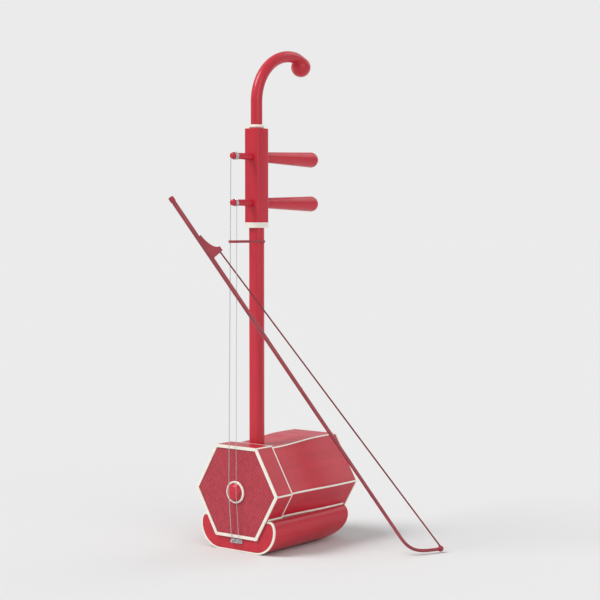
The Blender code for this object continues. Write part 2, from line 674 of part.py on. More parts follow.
def peg_shaft_radius(y):
    """The shaft's even taper, from the back of the peg box to the strings."""
    share = (box_face - y) / (box_face + STRING_REACH)
    return PEG_SHAFT_RADIUS + (PEG_TIP_RADIUS - PEG_SHAFT_RADIUS) * share


def peg_profile():
    """Outline of a peg, from the round end of its handle down to its tip."""
    low = box_face + GAP
    high = low + PEG_BEAD
    swell = peg_end - PEG_END_RADIUS
    end = arc((0, swell), (PEG_END_RADIUS,) * 2, pi / 2, -PEG_END_TUCK, 7)
    bead = arc((PEG_BEAD_RADIUS - PEG_BEAD / 2, low + PEG_BEAD / 2), (PEG_BEAD / 2,) * 2,
               pi / 2, -pi / 2, 5)
    tip_radius = peg_shaft_radius(peg_tip + PEG_TIP_ROUND)
    tip = arc((tip_radius - PEG_TIP_ROUND, peg_tip + PEG_TIP_ROUND), (PEG_TIP_ROUND,) * 2,
              0, -pi / 2, 3)
    return (end + [(PEG_GRIP_RADIUS, high + PEG_GRIP), (PEG_WAIST_RADIUS, high + PEG_COVE)]
            + bead + [(peg_shaft_radius(low), low)] + tip + [(0, peg_tip)])


AXIS_TO_BACK = (radians(-90), 0, 0)    # turns +Z to +Y
for label, z in (("upper", UPPER_PEG_Z), ("lower", LOWER_PEG_Z)):
    turned(f"{label}_peg", peg_profile(), "crimson_lacquer", (0, 0, z), AXIS_TO_BACK, steps=24)
    reach = box_face + PAST_ENDS
    hole = [(0, reach), (peg_shaft_radius(reach) + GAP, reach),
            (peg_shaft_radius(-reach) + GAP, -reach), (0, -reach)]
    boolean(peg_box, as_mesh(turned(f"{label}_peg_hole", hole, place=(0, 0, z),
                                    turn=AXIS_TO_BACK, steps=24)))


# ---------------------------------------------------------------- strings
WINDING_STEPS, LOOP_STEPS = 12, 14     # of a turn on a peg, of the whole loop


class String:
    """One string: its side (-1 is left), radius, peg's height and distance from the neck there."""

    def __init__(self, name, side, radius, peg_z, reach):
        self.name, self.side, self.radius, self.peg_z, self.reach = name, side, radius, peg_z, reach
        self.coil = PEG_TIP_RADIUS + GAP + radius
        self.lead = 2 * sqrt(self.coil * radius) + 2 * GAP    # clears the coil as it turns

    def top(self):
        """Where the string starts, just below the turns on its peg."""
        return Vector((self.side * self.coil, -self.reach, self.peg_z - self.lead))

    def at_bridge(self, above=0.0):
        """Where the string bears on the bridge, or a little above or below that."""
        return Vector((self.side * BRIDGE_SPREAD, BRIDGE_STRING_Y, BOX_Z + above))

    def at_height(self, z):
        share = (self.peg_z - self.lead - z) / (self.peg_z - self.lead - BOX_Z)
        return self.top().lerp(self.at_bridge(), share)

    def loop(self):
        """The end of the string, turned round its post on the hook."""
        turn = POST_RADIUS + GAP + self.radius
        post = self.side * (BRIDGE_SPREAD - turn)
        angles = [LOOP_TURN * k / LOOP_STEPS for k in range(LOOP_STEPS + 1)]
        return [Vector((post + self.side * turn * cos(a), LOOP_Y, HOOK_Z - turn * sin(a)))
                for a in angles]

    def winding(self):
        """The turns round the peg's tip, and the short lead where the string leaves them."""
        pitch = 2 * self.radius + WINDING_PITCH_GAP
        points = []
        for k in range(WINDING_STEPS * WINDING_TURNS + 1):
            back = WINDING_TURNS - k / WINDING_STEPS
            angle = 2 * pi * back
            points.append((self.side * self.coil * cos(angle), -self.reach + pitch * back,
                           self.peg_z + self.coil * sin(angle)))
        return points + [self.top() + Vector((0, 0, GAP))]


inner = String("inner_string", -1, INNER_RADIUS, UPPER_PEG_Z, STRING_REACH)
outer = String("outer_string", 1, OUTER_RADIUS, LOWER_PEG_Z, STRING_REACH - STRING_STAGGER)
crown = arc((BRIDGE_TOP_RADIUS, BRIDGE_SHOULDER),
            (BRIDGE_CROWN_RADIUS - BRIDGE_TOP_RADIUS, BRIDGE_HEIGHT - BRIDGE_SHOULDER), pi / 2, 0, 6)
bridge_profile = ([(0, BRIDGE_HEIGHT)] + crown
                  + [(BRIDGE_RADIUS, BRIDGE_FOOT), (BRIDGE_RADIUS, 0), (0, 0)])
AXIS_TO_FRONT = FACING_FRONT           # turns +Z to -Y
bridge = as_mesh(turned("bridge", bridge_profile, "crimson_lacquer",
                        (0, SKIN_FRONT_Y - GAP, BOX_Z), AXIS_TO_FRONT))
bridge_reach = BRIDGE_RADIUS + PAST_ENDS
boolean(bridge, cylinder("bridge_passage", BRIDGE_ARCH, (-bridge_reach, SKIN_FRONT_Y, BOX_Z),
                         (bridge_reach, SKIN_FRONT_Y, BOX_Z), 20))
ring_inner, ring_outer = BRIDGE_RADIUS + GAP, BRIDGE_RADIUS + GAP + RING_WALL
turned("bridge_ring", [(ring_inner, RING_HEIGHT), (ring_outer - RING_CHAMFER, RING_HEIGHT),
                       (ring_outer, RING_HEIGHT - RING_CHAMFER), (ring_outer, 0), (ring_inner, 0),
                       (ring_inner, RING_HEIGHT)], "bone", (0, SKIN_FRONT_Y - GAP, BOX_Z),
       AXIS_TO_FRONT)

for string in (inner, outer):
    loop = string.loop()
    runs = {"": [string.top(), string.at_bridge(GAP / 2)],
            "_tail": [string.at_bridge(-GAP / 2)] + loop,
            "_winding": string.winding()}
    for ending, path in runs.items():
        tube(string.name + ending, path, [string.radius] * len(path), "steel_string")
    groove = [string.top(), string.at_bridge(), loop[0]]
    boolean(bridge, as_mesh(tube(f"{string.name}_groove", groove, [string.radius + GAP] * 3)))

width, height, thickness = HOOK_PLATE
hook = block("string_hook", (-width / 2, HOOK_FACE_Y, HOOK_Z - height / 2),
             (width / 2, BASE_FRONT_Y - GAP, HOOK_Z + height / 2), "steel_string")
for string in (inner, outer):
    x = string.side * (BRIDGE_SPREAD - POST_RADIUS - GAP - string.radius)
    post_end = HOOK_FACE_Y - POST_LENGTH
    profile = [(0, POST_LENGTH), (POST_HEAD_RADIUS, POST_LENGTH - POST_HEAD / 2),
               (POST_HEAD_RADIUS, POST_LENGTH - POST_HEAD), (POST_RADIUS, POST_LENGTH - POST_HEAD),
               (POST_RADIUS, -thickness / 2), (0, -thickness / 2)]
    boolean(hook, as_mesh(turned(f"{string.name}_post", profile, place=(x, HOOK_FACE_Y, HOOK_Z),
                                 turn=AXIS_TO_FRONT, steps=16)), "UNION")


def belt(near, near_radius, far, far_radius, steps=12):
    """Outline of a belt round two circles on the Y axis, at near and far."""
    lean = asin((near_radius - far_radius) / abs(far - near))
    back = arc((0, near), (near_radius, near_radius), -lean, pi + lean, steps)
    front = arc((0, far), (far_radius, far_radius), pi + lean, 2 * pi - lean, steps)
    return back + front


tie_inner, tie_outer = inner.at_height(QIANJIN_Z), outer.at_height(QIANJIN_Z)
tie_y = middle(tie_inner.y, tie_outer.y)
tie_radius = GAP + max(hypot(tie_inner.x, tie_inner.y - tie_y) + inner.radius,
                       hypot(tie_outer.x, tie_outer.y - tie_y) + outer.radius)
neck_loop = NECK_RADIUS + GAP
plate("qianjin", [belt(0, neck_loop + QIANJIN_THREAD, tie_y, tie_radius + QIANJIN_THREAD),
                  belt(0, neck_loop, tie_y, tie_radius)], QIANJIN_HEIGHT, "silk_thread",
      (0, 0, QIANJIN_Z))


# ---------------------------------------------------------------- bow
crossing = (inner.at_height(CROSSING_Z) + outer.at_height(CROSSING_Z)) / 2
plan = Vector((cos(BOW_YAW), sin(BOW_YAW), 0))
to_front = Vector((sin(BOW_YAW), -cos(BOW_YAW), 0))
up = Vector((0, 0, 1))
along = plan * cos(BOW_SLOPE) - up * sin(BOW_SLOPE)
below = -plan * sin(BOW_SLOPE) - up * cos(BOW_SLOPE)
to_stick = below * cos(BOW_ROLL) + to_front * sin(BOW_ROLL)
bow_axes = Matrix((along, to_stick, along.cross(to_stick))).transposed().to_4x4()
bow_frame = bpy.data.objects.new("bow_frame", None)
PARTS.objects.link(bow_frame)
bow_frame.matrix_world = Matrix.Translation(Vector((0, crossing.y, CROSSING_Z))) @ bow_axes


def stick_height(x):
    """Distance from the hair to the stick's centre line, where the stick is straight."""
    return STICK_HEIGHT + STICK_RISE * x


def stick_line():
    """The stick's centre line: straight, then bent round to meet the hair at the tip."""
    start = (STICK_START, stick_height(STICK_START))
    bend = (STICK_STRAIGHT_END, stick_height(STICK_STRAIGHT_END))
    span = hypot(STICK_TIP[0] - bend[0], STICK_TIP[1] - bend[1])
    slope = atan2(STICK_RISE, 1)
    pull = TIP_BEND_PULL * span
    handle = (bend[0] + pull * cos(slope), bend[1] + pull * sin(slope))
    last = (STICK_TIP[0] - pull * cos(STICK_TIP_DIRECTION),
            STICK_TIP[1] - pull * sin(STICK_TIP_DIRECTION))
    steps = [k / STICK_STEPS for k in range(STICK_STEPS)]
    straight = [(start[0] + (bend[0] - start[0]) * t, start[1] + (bend[1] - start[1]) * t)
                for t in steps]
    return straight + bezier([bend, handle, last, STICK_TIP], TIP_BEND_STEPS)


def stick_tube(name, grow=0.0, slot=None):
    """The stick's round bar, with an even taper. grow makes it larger for a cutter."""
    line = stick_line()
    length = STICK_TIP[0] - STICK_START
    radii = [grow + STICK_RADIUS + (STICK_TIP_RADIUS - STICK_RADIUS) * (x - STICK_START) / length
             for x, _ in line]
    return as_mesh(tube(name, [(x, y, 0) for x, y in line], radii, slot, bow_frame, detail=3))


stick_turn = atan2(STICK_RISE, 1)
screw_frame = bpy.data.objects.new("screw_frame", None)    # at the stick's butt, X along it
PARTS.objects.link(screw_frame)
screw_frame.parent = bow_frame
screw_frame.location = (STICK_START, stick_height(STICK_START), 0)
screw_frame.rotation_euler = (0, 0, stick_turn)
bpy.context.view_layer.update()


def on_stick(x, y=0.0):
    """The world's place of a point so far along the stick and so far above its axis."""
    return screw_frame.matrix_world @ Vector((x, y, 0))


eyelet_x = (FROG_NOSE - EYELET_PLACE - STICK_START) / cos(stick_turn)
eyelet_ends = (eyelet_x - EYELET_LENGTH / 2, eyelet_x + EYELET_LENGTH / 2)
shank_end = eyelet_ends[1] + SHANK_PAST
stick = stick_tube("bow_stick", slot="bow_bamboo")
boolean(stick, cylinder("stick_bore", SHANK_RADIUS + GAP, on_stick(-PAST_ENDS),
                        on_stick(shank_end + GAP), 16))
mortise_half = EYELET_RADIUS + GAP
boolean(stick, block("stick_mortise",
                     (eyelet_ends[0] - FROG_TRAVEL - GAP, -STICK_RADIUS - GAP, -mortise_half),
                     (eyelet_ends[1] + GAP, mortise_half, mortise_half), parent=screw_frame))

block("bow_hair", (HAIR_START, -HAIR_THICKNESS / 2, -HAIR_WIDTH / 2),
      (HAIR_END, HAIR_THICKNESS / 2, HAIR_WIDTH / 2), "horsehair", bow_frame)


def frog_outline():
    """Side view of the frog: deep at its nose, with a hollow throat sweeping up to the stick."""
    back = FROG_NOSE - FROG_LENGTH
    heel = FROG_NOSE - FROG_FLAT
    seat_front, seat_back = stick_height(FROG_NOSE), stick_height(back)
    lip = seat_back - STICK_RADIUS - FROG_LIP
    throat = arc((back, -FROG_DEPTH), (heel - back, lip + FROG_DEPTH), 0, pi / 2, 8)
    nose = [(FROG_NOSE, seat_front), (FROG_NOSE - FROG_RAKE, -FROG_DEPTH)]
    return nose + throat + [(back, seat_back)]


frog = as_mesh(plate("frog", [frog_outline()], FROG_WIDTH, "bow_bamboo", parent=bow_frame))
boolean(frog, stick_tube("frog_saddle", grow=GAP))
pocket_end = HAIR_START - GAP
boolean(frog, block("frog_pocket", (pocket_end, -HAIR_THICKNESS / 2 - GAP, -HAIR_WIDTH / 2 - GAP),
                    (FROG_NOSE + PAST_ENDS, HAIR_THICKNESS / 2 + GAP, HAIR_WIDTH / 2 + GAP),
                    parent=bow_frame))

eyelet_stem_top = -middle(SHANK_RADIUS + GAP, EYELET_RADIUS)
boolean(frog, cylinder("stem_hole", EYELET_STEM_RADIUS + GAP, on_stick(eyelet_x),
                       on_stick(eyelet_x, -EYELET_STEM - GAP), 16))
eyelet = cylinder("frog_eyelet", EYELET_RADIUS, on_stick(eyelet_ends[0]), on_stick(eyelet_ends[1]),
                  20, "brass")
boolean(eyelet, cylinder("eyelet_stem", EYELET_STEM_RADIUS, on_stick(eyelet_x, eyelet_stem_top),
                         on_stick(eyelet_x, -EYELET_STEM), 16), "UNION")
boolean(eyelet, cylinder("eyelet_bore", SHANK_RADIUS + GAP, on_stick(eyelet_ends[0] - GAP),
                         on_stick(eyelet_ends[1] + GAP), 16))

dome = arc((BUTTON_DOME_RADIUS, BUTTON_LENGTH - BUTTON_DOME), (BUTTON_DOME_RADIUS, BUTTON_DOME),
           pi / 2, 0, 5)
button_profile = [(0, BUTTON_LENGTH)] + dome + [
    (BUTTON_RADIUS, BUTTON_RIM), (BUTTON_FOOT_RADIUS, 0), (SHANK_RADIUS + GAP, 0),
    (SHANK_RADIUS + GAP, BUTTON_SOCKET), (0, BUTTON_SOCKET)]
shank_profile = [(0, BUTTON_SOCKET - GAP), (SHANK_RADIUS, BUTTON_SOCKET - GAP),
                 (SHANK_RADIUS, -shank_end), (0, -shank_end)]
AXIS_TO_BUTT = (0, radians(-90), 0)    # turns +Z to the stick's -X
turned("bow_button", button_profile, "bow_bamboo", (-GAP, 0, 0), AXIS_TO_BUTT, 20, screw_frame)
turned("bow_screw", shank_profile, "brass", (-GAP, 0, 0), AXIS_TO_BUTT, 16, screw_frame)

bead_data = bpy.data.meshes.new("bow_tip")
bead_work = bmesh.new()
bmesh.ops.create_uvsphere(bead_work, u_segments=20, v_segments=12, radius=TIP_BEAD_RADIUS)
bead_work.to_mesh(bead_data)
bead_work.free()
bead = add("bow_tip", bead_data, "bow_bamboo", (*TIP_BEAD_CENTRE, 0), parent=bow_frame)
boolean(bead, stick_tube("tip_socket", grow=GAP))
boolean(bead, block("tip_slot", (HAIR_END - TIP_SLOT, -HAIR_THICKNESS / 2 - GAP,
                                 -HAIR_WIDTH / 2 - GAP),
                    (HAIR_END + GAP, HAIR_THICKNESS / 2 + GAP, HAIR_WIDTH / 2 + GAP),
                    parent=bow_frame))

for made in PARTS.objects:
    if made.type == "MESH" and not made.name.startswith(("edge", "band", "stave")):
        made.data.shade_smooth()
        made.data.set_sharp_from_angle(angle=radians(35))
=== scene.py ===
"""Erhu and its bow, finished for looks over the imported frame. All lengths are in metres.

The skin faces -Y, the pegs point to +Y and the neck stands along Z above the origin.
"""

import json
from math import cos, pi, radians, sin, tan

import bmesh
import bpy
import numpy as np
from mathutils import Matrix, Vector


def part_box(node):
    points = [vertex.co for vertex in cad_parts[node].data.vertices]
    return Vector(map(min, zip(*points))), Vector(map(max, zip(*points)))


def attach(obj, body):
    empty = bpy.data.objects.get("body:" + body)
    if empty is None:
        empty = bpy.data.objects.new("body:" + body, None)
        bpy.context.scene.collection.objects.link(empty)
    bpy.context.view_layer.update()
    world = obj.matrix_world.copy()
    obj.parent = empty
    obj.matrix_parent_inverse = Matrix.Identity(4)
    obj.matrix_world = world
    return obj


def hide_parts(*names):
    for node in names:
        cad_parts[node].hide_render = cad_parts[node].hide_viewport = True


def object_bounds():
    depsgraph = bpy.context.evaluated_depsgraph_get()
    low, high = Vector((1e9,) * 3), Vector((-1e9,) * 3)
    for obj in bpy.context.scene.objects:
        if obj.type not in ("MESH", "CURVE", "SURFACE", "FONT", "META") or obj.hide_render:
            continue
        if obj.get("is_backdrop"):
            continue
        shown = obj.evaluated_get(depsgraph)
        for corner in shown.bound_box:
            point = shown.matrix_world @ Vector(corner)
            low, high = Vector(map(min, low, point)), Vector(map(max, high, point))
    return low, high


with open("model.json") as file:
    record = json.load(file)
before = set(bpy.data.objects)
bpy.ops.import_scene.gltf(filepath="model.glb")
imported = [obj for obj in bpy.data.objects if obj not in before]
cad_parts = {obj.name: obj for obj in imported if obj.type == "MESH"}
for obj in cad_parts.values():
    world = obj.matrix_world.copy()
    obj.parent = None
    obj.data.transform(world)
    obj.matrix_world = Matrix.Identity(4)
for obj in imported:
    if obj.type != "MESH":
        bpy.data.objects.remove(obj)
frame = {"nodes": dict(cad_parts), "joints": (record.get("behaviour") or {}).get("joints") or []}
cad_low, cad_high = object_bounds()

# ---- sound box
# Six hardwood staves, mitred and glued round a hexagon that flares to the back, with a band of the
# same wood sleeved over the front. They are stained and lacquered crimson, and the thin lacquer is
# rubbed paler along the edges where hands hold it.
LACQUER_LIGHT, LACQUER_DARK = (0.565, 0.021, 0.042, 1), (0.320, 0.009, 0.018, 1)
LACQUER_RUBBED = (0.680, 0.080, 0.095, 1)
ALONG_X, ALONG_Y, ALONG_Z = (0.05, 1, 1), (1, 0.05, 1), (1, 1, 0.05)
BAND_SHARE, PORE_SHARE = 0.42, 0.34  # how far the wood's bands and pores darken it
RUB_WIDTH = 0.0014  # of the paler edges
CREASE = 32  # degrees between two faces from which their edge counts as sharp
FACET_LOW, FACET_HIGH = 0.990, 1.001  # how far out a quarter's facets lie, in shares of its radii
FACET_CUTS = 4  # pieces that each facet is cut into


def feed(tree, made, inputs):
    """Sets each input of a node to a value, or links it if the value is a socket."""
    for label, value in inputs.items():
        if isinstance(value, bpy.types.NodeSocket):
            tree.links.new(value, made.inputs[label])
        else:
            made.inputs[label].default_value = value


def node(tree, kind, inputs=None, **settings):
    """Adds a shader node with its settings and inputs."""
    made = tree.nodes.new("ShaderNode" + kind)
    for label, value in settings.items():
        setattr(made, label, value)
    feed(tree, made, inputs or {})
    return made


def maths(tree, operation, first, second=0.0):
    """The result of one sum, such as MULTIPLY, on two values or sockets."""
    return node(tree, "Math", {0: first, 1: second}, operation=operation).outputs[0]


def spread(tree, value, low, high, to_low=0.0, to_high=1.0):
    """The value moved from the range low..high to to_low..to_high, and held inside it."""
    limits = {"Value": value, "From Min": low, "From Max": high, "To Min": to_low, "To Max": to_high}
    return node(tree, "MapRange", limits).outputs[0]


def mixed(tree, share, first, second):
    """first * (1 - share) + second * share, for colours."""
    return node(tree, "Mix", {0: share, 6: first, 7: second}, data_type="RGBA").outputs[2]


def noise(tree, place, scale, detail=3.0, roughness=0.5):
    """Cloudy noise from 0 to 1 whose blotches are about 1 / scale across."""
    cloud = {"Vector": place, "Scale": scale, "Detail": detail, "Roughness": roughness}
    return node(tree, "TexNoise", cloud).outputs[0]


def raised(tree, height, depth, strength=1.0):
    """The surface's normal, raised by a height of 0 to 1 that stands for so many metres."""
    relief = {"Height": height, "Distance": depth, "Strength": strength}
    return node(tree, "Bump", relief).outputs[0]


def new_group(name, takes, gives):
    """A node group with its sockets: returns the tree, what it takes and the node it gives to."""
    tree = bpy.data.node_groups.new(name, "ShaderNodeTree")
    for way, sockets in (("INPUT", takes), ("OUTPUT", gives)):
        for label, kind in sockets.items():
            tree.interface.new_socket(label, in_out=way, socket_type="NodeSocket" + kind)
    return tree, tree.nodes.new("NodeGroupInput").outputs, tree.nodes.new("NodeGroupOutput")


def make_timber():
    """Wood figure: broad cloudy bands and fine dark pores, both drawn out along the grain."""
    takes = {"Place": "Vector", "Light": "Color", "Dark": "Color"}
    tree, take, give = new_group("timber", takes, {"Color": "Color", "Height": "Float"})
    bands = spread(tree, noise(tree, take["Place"], 70, 4), 0.30, 0.70)
    pores = spread(tree, noise(tree, take["Place"], 1500, 2), 0.56, 0.72)
    share = maths(tree, "ADD", maths(tree, "MULTIPLY", bands, BAND_SHARE),
                  maths(tree, "MULTIPLY", pores, PORE_SHARE))
    feed(tree, give, {"Color": mixed(tree, share, take["Light"], take["Dark"]),
                      "Height": maths(tree, "SUBTRACT", 1.0, pores)})
    return tree


def make_rubbed_edges():
    """A mask of worn edges: how far the rounded normal leans from the flat one, broken by noise."""
    tree, take, give = new_group("rubbed_edges", {"Place": "Vector", "Amount": "Float"},
                                 {"Mask": "Float"})
    rounded = node(tree, "Bevel", {"Radius": RUB_WIDTH}, samples=4).outputs[0]
    flat = node(tree, "NewGeometry").outputs["Normal"]
    likeness = node(tree, "VectorMath", {0: rounded, 1: flat}, operation="DOT_PRODUCT").outputs[1]
    edge = spread(tree, likeness, 0.995, 0.90)
    patchy = spread(tree, noise(tree, take["Place"], 160, 4), 0.40, 0.62)
    worn = maths(tree, "MULTIPLY", edge, patchy)
    feed(tree, give, {"Mask": maths(tree, "MULTIPLY", worn, take["Amount"])})
    return tree


TIMBER = make_timber()
RUBBED_EDGES = make_rubbed_edges()


def place_on(tree, straightened=False):
    """The place on the piece: its own coordinates, or those of the piece as if it were straight."""
    if straightened:
        return node(tree, "Attribute", attribute_name="straight").outputs["Vector"]
    return node(tree, "TexCoord").outputs["Object"]


def finish(name, look, straightened=False, **sockets):
    """A material: its look gives its shader's inputs, and other sockets are set by their names."""
    made = bpy.data.materials.new(name)
    made.use_nodes = True
    tree = made.node_tree
    inputs = {label.replace("_", " "): value for label, value in sockets.items()}
    feed(tree, tree.nodes["Principled BSDF"], inputs | look(tree, place_on(tree, straightened)))
    return made


def lacquer(name, grain, light=LACQUER_LIGHT, dark=LACQUER_DARK, straightened=False, rub=0.5):
    """Stained and lacquered hardwood whose figure is drawn out along the grain."""
    def look(tree, place):
        drawn_out = node(tree, "Mapping", {"Vector": place, "Scale": grain}).outputs[0]
        timber = node(tree, "Group", {"Place": drawn_out, "Light": light, "Dark": dark},
                      node_tree=TIMBER).outputs
        worn = node(tree, "Group", {"Place": place, "Amount": rub}, node_tree=RUBBED_EDGES).outputs
        return {"Base Color": mixed(tree, worn["Mask"], timber["Color"], LACQUER_RUBBED),
                "Roughness": spread(tree, noise(tree, place, 45, 5), 0.3, 0.7, 0.32, 0.46),
                "Normal": raised(tree, timber["Height"], 0.00004, 0.6)}

    return finish(name, look, straightened, Coat_Weight=0.30, Coat_Roughness=0.12, IOR=1.45,
                  Specular_IOR_Level=0.32)


def put(name, data):
    """A new object in the scene."""
    made = bpy.data.objects.new(name, data)
    bpy.context.scene.collection.objects.link(made)
    return made


def settle(name, data, sharp, stuff, cad, body):
    """Makes a mesh a piece: smooth up to its sharp edges, on its body, in its CAD node's place."""
    data.shade_smooth()
    data.set_sharp_from_angle(angle=radians(sharp))
    data.materials.append(stuff)
    made = put(name, data)
    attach(made, body)
    if cad:
        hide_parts(cad)
    return made


def ease_edges(made, width, segments=2):
    """Rounds a piece's sharp edges to a small radius."""
    soft = made.modifiers.new("ease", "BEVEL")
    soft.width, soft.segments, soft.limit_method = width, segments, "ANGLE"
    soft.angle_limit, soft.harden_normals = radians(CREASE), True


def points_and_corners(data):
    """A mesh's points as rows of x, y and z, and which point is at each corner of its faces."""
    spots, corners = np.empty(3 * len(data.vertices)), np.empty(len(data.loops), np.int32)
    data.vertices.foreach_get("co", spots)
    data.loops.foreach_get("vertex_index", corners)
    return spots.reshape(-1, 3), corners


def on_quarter(spots, quarter):
    """Which points lie on a quarter ellipse or its facets, and where the true curve has them.

    With q the offset from the centre over the radii, a point is on it if |q| is about 1 and q is
    in the quarter's own quadrant. Its true place is centre + radii q / |q|.
    """
    plane, centre, radii, toward, _ = quarter
    q = (spots[:, plane] - centre) / radii
    reach = np.maximum(np.linalg.norm(q, axis=1), 0.01)
    true = spots.copy()
    true[:, plane] = centre + radii * q / reach[:, None]
    near = (reach > FACET_LOW) & (reach < FACET_HIGH) & np.all(q * toward > -0.001, axis=1)
    return near, true


def cut_quarter(work, quarter):
    """Cuts each facet of a quarter ellipse into four.

    The plane at angle t holds the centre and the curve's point (radius cos t, radius sin t).
    """
    plane, centre, radii, toward, steps = quarter
    origin, across = np.zeros(3), np.zeros(3)
    origin[plane] = centre
    turns = np.linspace(0, pi / 2, FACET_CUTS * steps + 1)
    for turn in turns[np.arange(len(turns)) % FACET_CUTS > 0]:
        across[plane] = -radii[1] * toward[1] * sin(turn), radii[0] * toward[0] * cos(turn)
        work.verts.index_update()
        near, _ = on_quarter(np.array([vert.co for vert in work.verts]), quarter)
        facets = [face for face in work.faces if all(near[vert.index] for vert in face.verts)]
        edges = {edge for face in facets for edge in face.edges}
        ends = {vert for face in facets for vert in face.verts}
        bmesh.ops.bisect_plane(work, geom=[*facets, *edges, *ends], plane_co=origin,
                               plane_no=across, dist=0.000001)


def true_up(data, quarters):
    """Moves the corners of a mesh's quarter ellipses out to the true curves.

    It goes round three times, because the corners of a crease lie on two curves.
    """
    spots, corners = points_and_corners(data)
    start = np.empty(len(data.polygons), np.int32)
    data.polygons.foreach_get("loop_start", start)
    count = np.diff(start, append=len(corners))
    for quarter in 3 * quarters:
        near, true = on_quarter(spots, quarter)
        facet = np.logical_and.reduceat(near[corners], start)
        moved = np.unique(corners[np.repeat(facet, count)])
        spots[moved] = true[moved]
    data.vertices.foreach_set("co", spots.ravel())


def eased_copy(name, stuff, cad, ease, segments=2, quarters=(), body="instrument"):
    """A CAD node as a piece: doubles merged, flat faces joined and edges rounded to a radius.

    The facets of each quarter ellipse that is given become finer and lie on the true curve.
    """
    spots, corners = points_and_corners(frame["nodes"][cad].data)
    data = bpy.data.meshes.new(name)
    data.from_pydata(spots, [], corners.reshape(-1, 3).tolist())
    work = bmesh.new()
    work.from_mesh(data)
    bmesh.ops.remove_doubles(work, verts=work.verts, dist=0.000004)
    bmesh.ops.dissolve_degenerate(work, edges=work.edges, dist=0.000002)
    bmesh.ops.dissolve_limit(work, angle_limit=radians(0.2), verts=work.verts, edges=work.edges)
    for quarter in quarters:
        cut_quarter(work, quarter)
    work.to_mesh(data)
    work.free()
    true_up(data, quarters)
    made = settle(name, data, CREASE, stuff, cad, body)
    if ease:
        ease_edges(made, ease, segments)


box_lacquer = lacquer("lacquer_along_box", ALONG_Y)
for label in [*sorted(n for n in frame["nodes"] if n.startswith("stave_")), "front_band"]:
    eased_copy(label + "_wood", box_lacquer, label, 0.0003)

# ---- bone edges of the box
# Fine strips of pale bone let into every long corner of the box, and flat strips mitred at the six
# corners into rings at the front, behind the band and at the back. Glued, scraped and polished.
BONE_LIGHT, BONE_DARK = (0.86, 0.82, 0.74, 1), (0.66, 0.57, 0.44, 1)
RING_FACES = {"front_binding": 0.0050, "band_binding": 0.0030, "back_binding": 0.0080}
MITRE_JOINT = 0.00012  # the glue line between two strips


def bone_look(tree, place):
    """Bone: faint lengthwise lines and cloudy yellowing, with a soft polish."""
    cloud = spread(tree, noise(tree, place, 90, 3), 0.35, 0.75, 0.0, 0.35)
    lines = spread(tree, noise(tree, place, 2600, 2), 0.55, 0.75, 0.0, 0.30)
    return {"Base Color": mixed(tree, maths(tree, "ADD", cloud, lines), BONE_LIGHT, BONE_DARK),
            "Roughness": spread(tree, lines, 0.0, 0.3, 0.28, 0.42),
            "Normal": raised(tree, lines, 0.00003, 0.5)}


def shell(name, rings, stuff, cad, straight=None, looped=False, sharp=35, body="instrument"):
    """A closed skin over rings of points, an array of pieces x rings x points x 3.

    Point k of ring i joins point k of ring i + 1, each ring closes on itself, and the end rings
    are filled, unless the piece is looped, when its last ring joins its first.
    """
    rings = np.asarray(rings, float)
    many = 1 if rings.ndim == 3 else len(rings)
    ring = np.arange(rings.size // (3 * many)).reshape(rings.shape[-3:-1])
    ahead = np.roll(ring, -1, axis=0)
    quads = np.stack([ring, np.roll(ring, -1, axis=1), np.roll(ahead, -1, axis=1), ahead], -1)
    starts = ring.size * np.arange(many)[:, None, None]
    faces = (starts + quads[:None if looped else -1].reshape(-1, 4)).reshape(-1, 4).tolist()
    for lid in [] if looped else [ring[0, ::-1], ring[-1]]:
        faces += (starts[:, 0] + lid).tolist()
    data = bpy.data.meshes.new(name)
    data.from_pydata(rings.reshape(-1, 3), [], faces)
    if straight is not None:
        layer = data.attributes.new("straight", "FLOAT_VECTOR", "POINT")
        layer.data.foreach_set("vector", np.asarray(straight, np.float32).ravel())
    work = bmesh.new()
    work.from_mesh(data)
    bmesh.ops.remove_doubles(work, verts=work.verts, dist=0.0000005)
    bmesh.ops.recalc_face_normals(work, faces=work.faces)
    work.to_mesh(data)
    work.free()
    return settle(name, data, sharp, stuff, cad, body)


def mitred_ring(cad, face):
    """Six strips round the hexagon: each runs square to its side, out to the mitres at its ends.

    A point at distance d from the axis and s along side k is (d cos k - s sin k, d sin k + s cos k).
    """
    low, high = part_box(cad)
    outer = (high.z - low.z) / 2
    side = np.radians(30 + 60 * np.arange(6))[:, None, None]
    out = np.array([outer, outer, outer - face, outer - face])
    end = np.array([[-1], [1]]) * (out * tan(radians(30)) - MITRE_JOINT / 2)
    x, z = out * np.cos(side) - end * np.sin(side), out * np.sin(side) + end * np.cos(side)
    y = np.broadcast_to([low.y, high.y, high.y, low.y], x.shape)
    rings = np.stack([x, y, (high.z + low.z) / 2 + z], -1)
    ease_edges(shell(cad + "_strips", rings, bone, cad), 0.0003)


bone = finish("bone", bone_look, Coat_Weight=0.25, Coat_Roughness=0.2, IOR=1.54)
for label, face in RING_FACES.items():
    mitred_ring(label, face)
for label in sorted(n for n in frame["nodes"] if n.startswith(("edge_strip_", "band_strip_"))):
    eased_copy(label + "_bone", bone, label, 0.0002)

